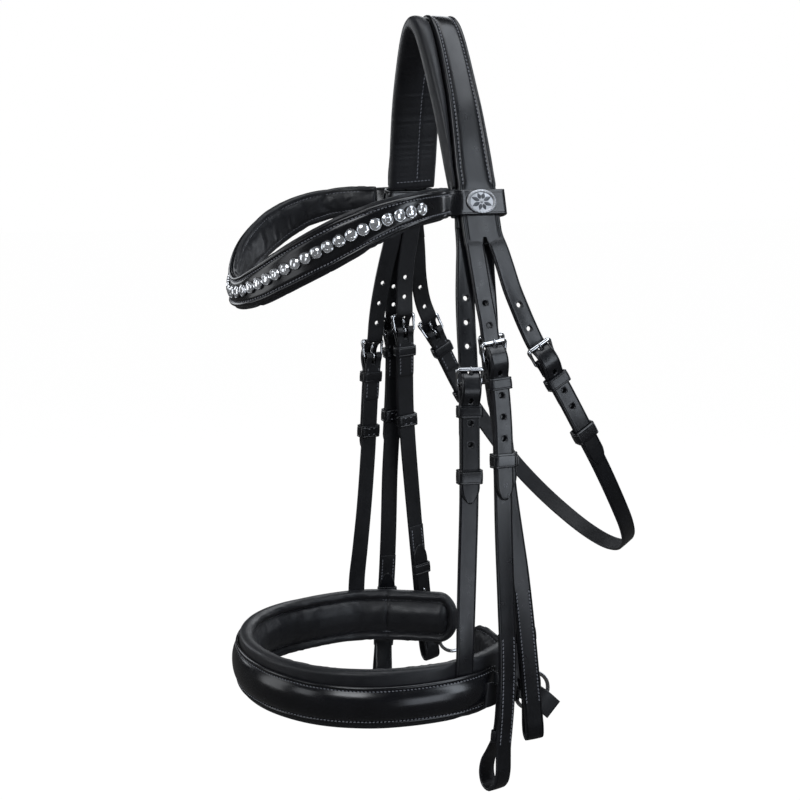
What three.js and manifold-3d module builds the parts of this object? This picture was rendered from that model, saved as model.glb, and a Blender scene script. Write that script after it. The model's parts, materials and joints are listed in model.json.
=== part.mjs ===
// A hanging double bridle head in black leather, built as separate straps, buckles and keepers.
// Units are millimetres. +Z is up, the horse faces -Y, and the horse's near (left) side is +X.
// The origin is at the underside of the crown pad, where it rests on the poll.
import * as THREE from "three";
import { mergeVertices } from "three/addons/utils/BufferGeometryUtils.js";
import Module from "manifold-3d";

const wasm = await Module();
wasm.setup();

// ---- shared dimensions ----
const STRAP_W = 14; // cheek, noseband and throat straps
const CHEEK_T = 3; // doubled and stitched strap
const BILLET_T = 2.4; // single billet
const GAP = 0.4; // running clearance between leather and leather or metal
const LAYER_GAP = 0.35; // between layers that lie on each other
const LAP_LIFT = CHEEK_T / 2 + GAP + BILLET_T / 2; // billet centre over the strap it laps

// Strap lines on the near side, each from its root to its end.
// Columns: x, y, z of the strap's centre, then x, y, z of its width direction.
const NOSEBAND_CHEEK = [
  [60.2, -1.4, -138.4, 0, 1, 0], [61.6, -1.5, -144, 0.01, 1, 0], [64.2, -2.2, -154, 0.03, 1, 0],
  [68, -4.2, -168, 0.06, 1, 0], [72.4, -6.4, -185, 0.1, 1, 0], [78.2, -8.2, -208, 0.14, 1, 0],
  [83.2, -8.9, -234, 0.16, 1, 0], [86.5, -10, -265, 0.17, 1, 0], [90.8, -11.5, -324, 0.17, 1, 0],
  [94, -14, -373, 0.15, 1, 0], [97.4, -16.5, -410, 0.06, 1, 0],
  [100.6, -18.6, -440, -0.08, 1, 0], [101, -19.4, -477, -0.1, 1, 0],
];
const CURB_CHEEK = [
  [65.6, 2.2, -142.5, 0, 1, 0], [69.6, 3.0, -155, 0, 1, 0], [73.6, 4.0, -170, 0, 1, 0],
  [78, 5.4, -188, 0, 1, 0], [81.8, 6.9, -203, 0, 1, 0], [84.6, 8.6, -220, 0, 1, 0],
  [87.8, 11, -240, 0, 1, 0], [92, 12.4, -272, 0, 1, 0], [95.6, 12.2, -308, 0, 1, 0],
  [99.4, 11.6, -348, -0.02, 1, 0], [103.6, 12, -400, -0.08, 1, 0],
  [107.4, 11.8, -442, -0.16, 1, 0], [109.2, 10.4, -475, -0.22, 1, 0],
  [109.2, 8.4, -505, -0.26, 1, 0],
];
const BRIDOON_CHEEK = [
  [60.2, 13.8, -138.4, 0, 1, 0], [61.6, 13.6, -144, 0, 1, 0], [64.4, 12.8, -156, 0, 1, 0],
  [68, 12, -172, 0, 1, 0], [71.2, 12.0, -190, 0, 1, 0], [72.6, 12.6, -206, 0, 1, 0],
  [73.2, 13.4, -224, 0, 1, 0], [75.2, 14.8, -242, 0, 1, 0], [79.2, 16.6, -264, 0, 1, 0],
  [82.4, 18.4, -286, 0, 1, 0], [84.2, 20.4, -306, 0.03, 1, 0], [85.8, 22.8, -328, 0.06, 1, 0],
  [88.2, 26.4, -356, 0.1, 1, 0], [90.4, 29.8, -382, 0.14, 1, 0], [92.2, 34.2, -420, 0.18, 1, 0],
  [93.2, 38, -455, 0.2, 1, 0], [93.4, 41.2, -485, 0.2, 1, 0],
];
const THROATLATCH = [ // ends at the middle of the throat
  [65.6, 18.2, -142.5, 0, 1, 0.02], [69.4, 21.6, -153.5, 0, 1, 0.06],
  [73.4, 24.4, -166, 0, 1, 0.14], [78, 27.4, -180.5, 0, 1, 0.24], [82.2, 31, -193, 0, 1, 0.34],
  [85.6, 35.6, -206, 0, 1, 0.42], [88, 43.4, -222, 0, 1, 0.5], [90.4, 52, -237.5, 0, 1, 0.56],
  [92.6, 62.5, -256, 0, 1, 0.6], [93.6, 79, -284.5, 0, 1, 0.64], [89.6, 96.5, -311, 0, 1, 0.66],
  [79.6, 119, -344, 0, 1, 0.66], [66.5, 136, -366, 0, 1, 0.66], [50, 149, -382, 0, 1, 0.66],
  [27, 158.5, -394, 0, 1, 0.66], [0, 162, -398.5, 0, 1, 0.66],
];

// ---- tracks: a centre line with the strap's width direction along it ----
const vec = (x, y, z) => new THREE.Vector3(x, y, z);

// The place between low and high at which isBefore turns false.
function bisect(low, high, isBefore) {
  for (let i = 0; i < 40; i++) {
    const middle = (low + high) / 2;
    if (isBefore(middle)) low = middle;
    else high = middle;
  }
  return (low + high) / 2;
}

function track(rows) {
  const spline = (points) => new THREE.CatmullRomCurve3(points, false, "centripetal");
  const curve = spline(rows.map(([x, y, z]) => vec(x, y, z)));
  const widthDirs = spline(rows.map((row) => vec(...row.slice(3))));
  curve.arcLengthDivisions = 1200;
  const length = curve.getLength();

  // Frame at a distance; normal is along x across. Beyond its ends the track runs straight on.
  function at(distance) {
    const fraction = THREE.MathUtils.clamp(distance / length, 0, 1);
    const k = curve.getUtoTmapping(fraction);
    const point = curve.getPoint(k);
    const along = curve.getTangent(k).normalize();
    const across = widthDirs.getPoint(k);
    across.addScaledVector(along, -across.dot(along)).normalize();
    const normal = new THREE.Vector3().crossVectors(along, across);
    if (distance < 0) point.addScaledVector(along, distance);
    if (distance > length) point.addScaledVector(along, distance - length);
    return { point, along, across, normal };
  }
  // Distance, from `start` on, at which the track passes height z going down.
  const atZ = (z, start = 0) => bisect(start, length, (s) => at(s).point.z > z);
  return { length, at, atZ };
}
// Rows from one end to the middle plane, carried on to the other side as a mirror image.
const bothSides = (rows) => [
  ...rows,
  ...rows.slice(0, -1).map(([x, ...rest]) => [-x, ...rest]).reverse(),
];

// ---- stations and tables ----
// Distances from start to end, about `step` apart.
const stations = (start, end, step) => {
  const count = Math.max(1, Math.round((end - start) / step));
  return Array.from({ length: count + 1 }, (_, i) => start + ((end - start) * i) / count);
};
// Distances either side of the middle, out to `reach`; the pair nearest it is `first` away.
function centred(middle, reach, step, first = 0) {
  const offsets = [first];
  for (let x = first + step; x < reach - step / 2; x += step) offsets.push(x);
  offsets.push(reach);
  const before = offsets.filter((x) => x > 0).reverse();
  return [...before.map((x) => middle - x), ...offsets.map((x) => middle + x)];
}
// Straight-line interpolation in rows of [place, value], held level beyond both ends.
const table = (rows) => (place) => {
  if (place <= rows[0][0]) return rows[0][1];
  for (let i = 1; i < rows.length; i++) {
    const [x0, value0] = rows[i - 1];
    const [x1, value1] = rows[i];
    if (place <= x1) return value0 + ((place - x0) / (x1 - x0)) * (value1 - value0);
  }
  return rows[rows.length - 1][1];
};
// Height along a two-sided band, given at each row from its near end to the middle.
function bandHeight(line, rows, heights) {
  let run = 0;
  const byRun = table(rows.map(([x, y, z], i) => {
    if (i) run += Math.hypot(x - rows[i - 1][0], y - rows[i - 1][1], z - rows[i - 1][2]);
    return [run, heights[i]];
  }));
  return (s) => byRun(Math.min(s, line.length - s));
}

// ---- solids ----
const plain = (geometry) => {
  const copy = geometry.index ? geometry.toNonIndexed() : geometry.clone();
  copy.deleteAttribute("normal");
  copy.deleteAttribute("uv");
  return mergeVertices(copy, 1e-4);
};
const toSolid = (geometry) => {
  const merged = plain(geometry);
  return new wasm.Manifold(new wasm.Mesh({
    numProp: 3,
    vertProperties: new Float32Array(merged.attributes.position.array),
    triVerts: new Uint32Array(merged.index.array),
  }));
};
const fromSolid = (solid) => {
  const mesh = solid.getMesh();
  const geometry = new THREE.BufferGeometry();
  const positions = new Float32Array(mesh.vertProperties);
  geometry.setAttribute("position", new THREE.BufferAttribute(positions, 3));
  geometry.setIndex(new THREE.BufferAttribute(new Uint32Array(mesh.triVerts), 1));
  return geometry;
};
const union = (...parts) => fromSolid(parts.map(toSolid).reduce((a, b) => a.add(b)));
const minus = (body, ...cuts) =>
  fromSolid(cuts.map(toSolid).reduce((a, b) => a.subtract(b), toSolid(body)));

function mirrorX(geometry) {
  const copy = plain(geometry);
  const position = copy.attributes.position;
  for (let i = 0; i < position.count; i++) position.setX(i, -position.getX(i));
  // Swap two corners of every triangle so that it still faces outward.
  const index = copy.index;
  for (let i = 0; i < index.count; i += 3) {
    const second = index.getX(i + 1);
    index.setX(i + 1, index.getX(i + 2));
    index.setX(i + 2, second);
  }
  return copy;
}

// Strap sections of unit size: x across the strap, y through its thickness.
const SQUARE = [[-0.5, -0.5], [0.5, -0.5], [0.5, 0.5], [-0.5, 0.5]];
const ROLLED = [
  [-0.5, -0.2], [-0.4, -0.5], [0.4, -0.5], [0.5, -0.2],
  [0.5, 0.2], [0.4, 0.5], [-0.4, 0.5], [-0.5, 0.2],
];
const toShape = (points) => new THREE.Shape(points.map(([x, y]) => new THREE.Vector2(x, y)));
const extrude = (shape, depth, options = {}) =>
  new THREE.ExtrudeGeometry(shape, { depth, bevelEnabled: false, ...options });

// A section extruded with one step per station, then bent along the track. Width, thickness,
// lift (along the normal) and shift (across) are numbers or functions of distance.
function strip(line, list, { width, thick, lift = 0, shift = 0, section = SQUARE }) {
  const valueAt = (value, s) => (typeof value === "function" ? value(s) : value);
  const steps = list.length - 1;
  const geometry = extrude(toShape(section), 1, { steps });
  const position = geometry.attributes.position;
  for (let i = 0; i < position.count; i++) {
    const s = list[Math.round(position.getZ(i) * steps)];
    const { point, across, normal } = line.at(s);
    point.addScaledVector(across, position.getX(i) * valueAt(width, s) + valueAt(shift, s));
    point.addScaledVector(normal, position.getY(i) * valueAt(thick, s) + valueAt(lift, s));
    position.setXYZ(i, point.x, point.y, point.z);
  }
  return geometry;
}
// Places a piece made with x across the strap, y along the normal and z along the strap.
function put(geometry, line, s, lift = 0) {
  const { point, along, across, normal } = line.at(s);
  const matrix = new THREE.Matrix4().makeBasis(across, normal, along);
  matrix.setPosition(point.addScaledVector(normal, lift));
  return geometry.applyMatrix4(matrix);
}
// A rectangle centred on x = 0 with its corners cut off.
function cutRect(width, height, corner, centreY = 0) {
  const x = width / 2;
  const y0 = centreY - height / 2;
  const y1 = centreY + height / 2;
  return toShape([
    [-x + corner, y0], [x - corner, y0], [x, y0 + corner], [x, y1 - corner],
    [x - corner, y1], [-x + corner, y1], [-x, y1 - corner], [-x, y0 + corner],
    [-x + corner, y0],
  ]);
}
// A flat leather loop: its opening is `width` wide and goes from y0 to y1 outward.
function keeper(width, y0, y1, length, wall = 1.5) {
  const middle = (y0 + y1) / 2;
  const shape = cutRect(width + 2 * wall, y1 - y0 + 2 * wall, 0.9, middle);
  shape.holes.push(cutRect(width, y1 - y0, 0.2, middle));
  return extrude(shape, length).translate(0, 0, -length / 2);
}
const block = (width, y0, y1, z0, z1) =>
  new THREE.BoxGeometry(width, y1 - y0, z1 - z0).translate(0, (y0 + y1) / 2, (z0 + z1) / 2);

// ---- meshes ----
const root = new THREE.Group();
root.name = "double_bridle_head";
const PAINT = {
  leather: { color: 0x141417, roughness: 0.42, metalness: 0 },
  lining: { color: 0x1b1c20, roughness: 0.6, metalness: 0 },
  metal: { color: 0xc9ccd0, roughness: 0.22, metalness: 1 },
  stone: { color: 0xdfe3e8, roughness: 0.08, metalness: 0.1 },
};
function add(name, geometry, kind) {
  geometry.deleteAttribute("uv");
  geometry.computeVertexNormals();
  const mesh = new THREE.Mesh(geometry, new THREE.MeshStandardMaterial(PAINT[kind]));
  mesh.name = name;
  root.add(mesh);
}
function addPair(name, geometry, kind) {
  add("near_" + name, geometry, kind);
  add("off_" + name, mirrorX(geometry), kind);
}

// ---- crown: up the off side, over the poll and down the near side ----
const TOP_T = 3; // top headpiece strap
const SLIP_T = 1.8; // slipheads under it
const PAD_T = 4.6;
const PAD_W = 38;
const POLL_FLAT = 10; // flat length over the poll
const CROWN_STEP = 9;

// Outer face of the crown, from the poll down the near side: x, z.
const CROWN = [
  [0, 10.472], [7, 8.672], [13.5, 4], [19.5, -4], [25, -14], [30, -24.5], [36, -38.5], [42, -54],
  [48.5, -75], [54.5, -97], [59, -113], [63, -128], [66.8, -142],
];
// Depth below the origin, y of the crown's line.
const crownY = table([[-10, 1.4], [40, 4.2], [80, 7.2], [113, 9.6], [142, 10.2]]);
const crown = track(bothSides(CROWN.map(([x, z]) => [-x, crownY(-z), z, 0, 1, 0]).reverse()));
const poll = crown.length / 2;
const fromPoll = (rows) => {
  const byDistance = table(rows);
  return (s) => byDistance(Math.abs(s - poll));
};

// One layer of the crown, down to height endZ on both sides.
const crownLayer = (endZ, options) => {
  const reach = crown.atZ(endZ, poll) - poll;
  return strip(crown, centred(poll, reach, CROWN_STEP, POLL_FLAT / 2), options);
};

// The rows of the crown's tables are distance from the poll, then value.
function addHeadpieceStrap() {
  add("headpiece_strap", crownLayer(-141, {
    width: fromPoll([[0, 22], [60, 24], [110, 29], [135, 30.6]]),
    thick: TOP_T,
    lift: -TOP_T / 2,
    shift: fromPoll([[0, 5.4], [60, 3.4], [110, 0.4], [135, 0]]),
  }), "leather");
}
function addSliphead(name, shiftRows) {
  add(name, crownLayer(-136.6, {
    width: fromPoll([[0, 10], [60, 11], [110, 13.6], [135, 14]]),
    thick: SLIP_T,
    lift: -TOP_T - LAYER_GAP - SLIP_T / 2,
    shift: fromPoll(shiftRows),
  }), "leather");
}
function addHeadpiecePadding() {
  const endZ = -104;
  const reach = crown.atZ(endZ, poll) - poll;
  add("headpiece_padding", crownLayer(endZ, {
    width: fromPoll([[0, PAD_W], [reach - 8, PAD_W - 2], [reach, PAD_W - 12]]),
    thick: fromPoll([[0, PAD_T], [reach - 8, PAD_T], [reach, 3]]),
    lift: -TOP_T - LAYER_GAP - SLIP_T - LAYER_GAP - PAD_T / 2,
    section: ROLLED,
  }), "lining");
}
addHeadpieceStrap();
addSliphead("noseband_sliphead", [[0, 0], [60, -2.4], [110, -8.2], [135, -11.6]]);
addSliphead("bridoon_sliphead", [[0, 10.8], [60, 9.6], [110, 7], [135, 3.4]]);
addHeadpiecePadding();

// ---- browband: leather with end loops, padding behind, stones in front ----
const BROW_T = 2.6;
const BROW_PAD_T = 3.4;
const BROW_GAP = 0.6; // from the leather to the padding and to the stones
const BROW_STEP = 10;
const LOOP_W = 38.6; // inside width of an end loop
const LOOP_H = 18; // length of an end loop along the crown
const LOOP_T = 1.7;
const LOOP_ROOM = 1; // clearance over and under the crown straps
const STONES = 41;
const STONE_D = 7.6;
const STONE_PITCH = 8.6;

// Outer face from the near loop to the middle of the brow: x, y, top z, bottom z.
const BROW = [
  [62.6, -9.6, -112.4, -129.8], [69.4, -16, -112.4, -130.2], [79.2, -28.6, -112.6, -131.6],
  [86.2, -46, -114.4, -134.4], [88, -65, -118, -139.6], [85.2, -82, -123, -147],
  [79.2, -97.5, -129.4, -155.6], [71, -111, -137, -164], [60, -123.4, -145.4, -172],
  [46.4, -134.4, -154.4, -180.2], [31, -143, -163, -187.4], [15.6, -148.8, -169.6, -191.6],
  [0, -150.6, -172.2, -193],
];
const browRows = BROW.map(([x, y, top, bottom]) => [x, y, (top + bottom) / 2, 0, 0, -1]);
const brow = track(bothSides(browRows));
const browMiddle = brow.length / 2;
const browHeight = bandHeight(brow, browRows, BROW.map(([, , top, bottom]) => top - bottom));
const loopPlace = crown.atZ(-121.2, poll);

function addBrowbandLeather() {
  const band = strip(brow, centred(browMiddle, browMiddle, BROW_STEP), {
    width: browHeight,
    thick: BROW_T,
    lift: -BROW_T / 2,
  });
  const inside = -TOP_T - LAYER_GAP - SLIP_T - LOOP_ROOM;
  const loop = put(keeper(LOOP_W, inside, LOOP_ROOM, LOOP_H, LOOP_T), crown, loopPlace);
  add("browband_leather", union(band, loop, mirrorX(loop)), "leather");
}
function addBrowbandPadding() {
  add("browband_padding", strip(brow, centred(browMiddle, browMiddle - 8, BROW_STEP), {
    width: (s) => browHeight(s) + 2.4,
    thick: BROW_PAD_T,
    lift: -BROW_T - BROW_GAP - BROW_PAD_T / 2,
    section: ROLLED,
  }), "lining");
}
// All the stones and the links between them are one strip.
function addCrystalChain() {
  // Distance from the stone's middle, width, depth.
  const stoneProfile = [[-3.6, 3, 1], [-1.7, STONE_D, 2.4], [1.7, STONE_D, 2.4], [3.6, 3, 1]];
  const firstStone = browMiddle - ((STONES - 1) / 2) * STONE_PITCH;
  const rows = [];
  for (let i = 0; i < STONES; i++) {
    for (const [offset, width, depth] of stoneProfile) {
      rows.push([firstStone + i * STONE_PITCH + offset, width, depth]);
    }
  }
  const depthAt = table(rows.map(([place, , depth]) => [place, depth]));
  add("crystal_chain", strip(brow, rows.map(([place]) => place), {
    width: table(rows),
    thick: depthAt,
    lift: (s) => BROW_GAP + depthAt(s) / 2,
  }), "stone");
}
// An oval plate on the outside of each end loop.
function addMedallions() {
  const thickness = 1.8;
  const oval = new THREE.Shape();
  oval.absellipse(0, 0, 11.2, 7.6, 0, Math.PI * 2, false, 0);
  const plate = extrude(oval, thickness, { curveSegments: 9 });
  plate.rotateX(Math.PI / 2).translate(0, thickness, 0);
  const lift = LOOP_ROOM + LOOP_T + LAYER_GAP;
  addPair("medallion", put(plate, crown, loopPlace, lift), "metal");
}
addBrowbandLeather();
addBrowbandPadding();
addCrystalChain();
addMedallions();

// ---- buckled joints: y is outward, z runs down the strap from the hinge bar ----
const BAR = 2.4; // bar section
const BUCKLE_IN_W = 14.9; // frame opening across the strap
const BUCKLE_OUT_W = BUCKLE_IN_W + 2 * BAR;
const BUCKLE_L = 15; // frame length along the strap
const HINGE_LIFT = 0.9; // hinge bar over the strap centre
const TOP_BAR_LIFT = 3.6; // upper bar over the strap centre
const TOP_BAR = -(BUCKLE_L - BAR); // upper bar along the strap from the hinge bar
const STRAP_START = 5; // where the lower strap begins, past the hinge bar
const KEEPER_W = STRAP_W + 2 * GAP;
const KEEPER_HIGH = LAP_LIFT + BILLET_T / 2 + GAP;

// Billet height over the strap line: distance from the hinge bar, lift.
const BILLET_PATH = [
  [-24, 0], [-17, -0.5], [TOP_BAR, -0.2], [-9, 1.5], [-6.4, 3.9], [-4, 5.6], [-2, 6.2],
  [0, 6.5], [2.5, 6.4], [5, 5.6], [8, 4.0], [10.6, 3.15], [13, LAP_LIFT],
];
const billetLift = table(BILLET_PATH);

// The frame lies through the hinge bar and tilts so that its upper bar stands outward.
function buckleFrame() {
  const shape = cutRect(BUCKLE_OUT_W, BUCKLE_L, 2.6);
  shape.holes.push(cutRect(BUCKLE_IN_W, BUCKLE_L - 2 * BAR, 0.6));
  return extrude(shape, BAR)
    .translate(0, 0, -BAR / 2)
    .rotateX(Math.PI / 2) // now y is outward and z is along the strap
    .translate(0, 0, TOP_BAR / 2)
    .rotateX(Math.atan2(TOP_BAR_LIFT - HINGE_LIFT, -TOP_BAR))
    .translate(0, HINGE_LIFT, 0);
}
// Points on an arc about the hinge bar, angles in degrees.
const barArc = (radius, start, end, count) =>
  Array.from({ length: count + 1 }, (_, i) => {
    const angle = THREE.MathUtils.degToRad(start + ((end - start) * i) / count);
    return [radius * Math.cos(angle), HINGE_LIFT + radius * Math.sin(angle)];
  });
// A side outline (along the strap, outward) with a hole for the bar, extruded across the strap.
function aroundBar(outline, holeRadius, width) {
  const shape = toShape(outline);
  shape.holes.push(toShape(barArc(holeRadius, 0, 315, 7).reverse()));
  const turn = new THREE.Matrix4().makeBasis(vec(0, 0, 1), vec(0, 1, 0), vec(-1, 0, 0));
  return extrude(shape, width).translate(0, 0, -width / 2).applyMatrix4(turn);
}
function tongue() {
  const outline = [
    ...barArc(3.0, 150, 470, 9),
    [-4.2, 5.2], [-10, 6.1], [TOP_BAR, 6.9], [TOP_BAR - 2.6, 6.2], [TOP_BAR - 3.2, 5.2],
    [TOP_BAR - 1.6, 5.1], [TOP_BAR + 1.6, 5.1], [-7.6, 4.0],
  ];
  return aroundBar(outline, 1.95, 2.4);
}
// The end of the lower strap, looped round the hinge bar.
function chape() {
  const outline = [...barArc(3.7, 40, 320, 10), [9, -CHEEK_T / 2], [9, CHEEK_T / 2]];
  return aroundBar(outline, 2.1, STRAP_W);
}
function billet(line, { hinge, tip, root: start, holes }) {
  const end = hinge + tip;
  const [pathStart] = BILLET_PATH[0];
  const [pathEnd] = BILLET_PATH[BILLET_PATH.length - 1];
  const list = [
    ...stations(start, hinge + pathStart, 14),
    ...BILLET_PATH.slice(1).map(([s]) => hinge + s),
    ...stations(hinge + pathEnd, end - 8, 16).slice(1),
    end - 3.5,
    end,
  ];
  const strap = strip(line, list, {
    width: table([[end - 8, STRAP_W], [end - 3.5, STRAP_W - 4.5], [end, 2.4]]),
    thick: BILLET_T,
    lift: (s) => billetLift(s - hinge),
  });
  const tongueSlot = put(block(3.4, -3, 12, -8.8, -0.6), line, hinge);
  const punched = holes.map((hole) =>
    put(new THREE.CylinderGeometry(1.7, 1.7, 6, 6), line, hinge + hole, billetLift(hole)));
  return minus(strap, tongueSlot, ...punched);
}

// Where each near-side tongue and loose keeper moves; the off side is its mirror image.
root.userData.pivots = {};
function notePivots(name, line, { hinge, slide }) {
  const bar = line.at(hinge);
  const loose = line.at(hinge + slide);
  root.userData.pivots[name] = {
    bar: bar.point.clone().addScaledVector(bar.normal, HINGE_LIFT).toArray(),
    across: bar.across.toArray(),
    keeper: loose.point.toArray(),
    along: loose.along.toArray(),
    root: line.at(0).point.toArray(),
  };
}

// Adds the loose pieces of a joint and returns the parts fixed to the lower strap.
// hinge: distance of the hinge bar. From there: tip, the billet's end; slide, the loose keeper;
// holes, the billet's holes. root: where the billet starts on the line.
function addJoint(name, line, joint) {
  const { hinge, slide } = joint;
  notePivots(name, line, joint);
  addPair(name + "_billet", billet(line, joint), "leather");
  addPair(name + "_buckle", put(buckleFrame(), line, hinge), "metal");
  addPair(name + "_tongue", put(tongue(), line, hinge), "metal");
  const loose = keeper(KEEPER_W, -CHEEK_T / 2 - GAP, KEEPER_HIGH, 10);
  addPair(name + "_sliding_keeper", put(loose, line, hinge + slide), "leather");

  const tongueSlot = put(block(3.2, -5, 6.5, -5, 3.2), line, hinge);
  const fixedKeeper = keeper(KEEPER_W, -CHEEK_T / 2 + 0.2, KEEPER_HIGH, 8);
  return [minus(put(chape(), line, hinge), tongueSlot), put(fixedKeeper, line, hinge + 16.5)];
}

// ---- curb and bridoon cheeks ----
const BIT_LOOP_T = 2.2;
const RETURN_LIFT = -3.4; // centre of the returned end, behind the strap

// Bit loops in the strap's side plane: distance past the strap's end, lift.
const CURB_LOOP = [
  [-2, 0.2], [8, 0.9], [18, 1.6], [27, 0.2], [32.5, -5.4], [31, -11.5], [24, -15], [14, -14.4],
  [4, -9.6], [-6, -5.2], [-16, -3.6], [-34, RETURN_LIFT], [-56, RETURN_LIFT],
];
const BRIDOON_LOOP = [
  [-2, 0.2], [8, 0.2], [18, 0], [25, -1.6], [27.6, -5], [25, -8.2], [18, -8.4], [8, -6.2],
  [-4, -3.8], [-14, RETURN_LIFT], [-30, RETURN_LIFT], [-50, RETURN_LIFT],
];

function bitLoop(line, profile) {
  const end = line.at(line.length);
  const loop = track(profile.map(([past, lift]) => {
    const point = end.point.clone();
    point.addScaledVector(end.along, past).addScaledVector(end.normal, lift);
    return [...point.toArray(), ...end.across.toArray()];
  }));
  // One flat facet crosses the lowest point, where a ring sits.
  let lowest = 0;
  let deepest = -Infinity;
  for (let s = 0; s < loop.length; s += 0.25) {
    const depth = loop.at(s).point.sub(end.point).dot(end.along);
    if (depth > deepest) {
      deepest = depth;
      lowest = s;
    }
  }
  const list = [...stations(0, lowest - 2, 5.5), ...stations(lowest + 2, loop.length, 6)];
  return strip(loop, list, { width: STRAP_W - 0.5, thick: BIT_LOOP_T });
}
function addCheek(name, line, loopProfile, joint) {
  const fixedParts = addJoint(name, line, joint);
  const strap = strip(line, stations(joint.hinge + STRAP_START, line.length, 18), {
    width: STRAP_W,
    thick: CHEEK_T,
  });
  const keeperLow = RETURN_LIFT - BIT_LOOP_T / 2 - 0.2;
  const bitKeeper = keeper(STRAP_W + 0.2, keeperLow, 1.2, 8, 1.4);
  const hookStud = new THREE.CylinderGeometry(1.6, 1.6, 3.4, 8);
  addPair(name + "_cheekpiece", union(
    strap,
    ...fixedParts,
    bitLoop(line, loopProfile),
    put(bitKeeper, line, line.length - 26),
    put(hookStud, line, line.length - 42, -5.2),
  ), "leather");
}
const curbLine = track(CURB_CHEEK);
addCheek("curb", curbLine, CURB_LOOP, {
  hinge: curbLine.atZ(-229), tip: 98, slide: 70, root: 0.6, holes: [-35, 24.6, 39.6],
});
const bridoonLine = track(BRIDOON_CHEEK);
addCheek("bridoon", bridoonLine, BRIDOON_LOOP, {
  hinge: bridoonLine.atZ(-226), tip: 98, slide: 76, root: 0.6, holes: [-31, 24.6, 39.6],
});

// ---- noseband cheek straps and throatlatch ----
function addNosebandStraps() {
  const line = track(NOSEBAND_CHEEK);
  const hinge = line.atZ(-247);
  const joint = { hinge, tip: 81, slide: 62, root: 0.9, holes: [-40, 24.6, 39.6] };
  const fixedParts = addJoint("noseband", line, joint);
  // The strap thins towards its lower end.
  const strap = strip(line, stations(hinge + STRAP_START, line.length, 17), {
    width: STRAP_W,
    thick: table([[line.length - 40, CHEEK_T], [line.length - 28, 2.4]]),
  });
  addPair("noseband_strap", union(strap, ...fixedParts), "leather");
}
// One strap under the throat between two billets.
function addThroatlatch() {
  const line = track(bothSides(THROATLATCH));
  const hinge = line.atZ(-231);
  const joint = { hinge, tip: 90, slide: 61, root: 2.6, holes: [-32, 24.6, 39.6] };
  const fixedParts = addJoint("throat", line, joint);
  const start = hinge + STRAP_START;
  const strap = strip(line, stations(start, line.length - start, 15), {
    width: STRAP_W - 1,
    thick: CHEEK_T,
  });
  add("throat_strap", union(strap, ...fixedParts, ...fixedParts.map(mirrorX)), "leather");
}
addNosebandStraps();
addThroatlatch();

// ---- noseband: doubled band, a tab back to each ring, padding, rings and chin strap ----
const NOSE_Z = -463.2;
const NOSE_T = 3.6;
const NOSE_PAD_T = 8;
const NOSE_PAD_GAP = 4.55; // between the band and its padding
const NOSE_STEP = 12;
const TAB_T = 2.6;
const RING_END_T = 6.4; // tab and chin strap where they wrap a ring
const RING_R = 14; // to the middle of the wire
const RING_WIRE = 1.5; // wire radius
const RING_CENTRE = [66, 56, -486];

// Outer face, near rear end to the middle of the nose: x, y, height of the leather.
const NOSE = [
  [60, 62.5, 16], [70, 52.5, 19], [80, 37.5, 25], [89.6, 22, 30], [98.2, 7, 30.6],
  [104.6, -8, 30.6], [107.6, -22, 30.6], [108.2, -40, 30.4], [106, -62, 30], [100.2, -85, 30],
  [89.6, -105.5, 30.4], [74, -123.5, 31], [54, -137.6, 32], [29, -148, 32.6], [0, -152, 33],
];
// The tab and the chin strap have the same columns as the strap lines.
const TAB = [ // from the near end of the band back to the ring; its normal points inward
  [101.2, 1, -466.4, 0, 0, -1], [97.4, 8.4, -468, 0, 0, -1], [91, 18, -471, 0, 0, -1],
  [84.2, 27.6, -476, 0, 0, -1], [76, 35.4, -481, 0, 0, -1], [69.4, 40, -484.6, 0, 0, -1],
  [63.4, 43.6, -486, 0, 0, -1],
];
const CHIN = [ // from the off ring across to the near ring and on down to the loose end
  [-63, 71.4, -486, 0, 0, -1], [-56, 65, -486.4, 0, 0, -1], [-42, 58.4, -483.6, 0, -0.1, -1],
  [-20, 55.6, -476, 0, -0.2, -1], [0, 55, -472.6, 0, -0.25, -1], [20, 55, -476, 0, -0.3, -1],
  [40, 54.6, -484, 0, -0.36, -0.9], [55, 54.4, -487.4, 0, -0.6, -0.8],
  [64, 56, -488, 0, -0.72, -0.7], [69.6, 62, -492.4, 0, -0.74, -0.68],
  [71.8, 72, -502, 0, -0.72, -0.7],
];
const noseRows = NOSE.map(([x, y]) => [x, y, NOSE_Z, 0, 0, -1]);
const nose = track(bothSides(noseRows));
const noseMiddle = nose.length / 2;
const noseHeight = bandHeight(nose, noseRows, NOSE.map(([, , height]) => height));

// The near ring stands in a plane across X.
const ringTorus = (wire, wireSegments) =>
  new THREE.TorusGeometry(RING_R, wire, wireSegments, 24)
    .rotateY(Math.PI / 2)
    .translate(...RING_CENTRE);
const ringBore = ringTorus(RING_WIRE + 0.75, 8); // cut from the leather that wraps the wire

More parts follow.
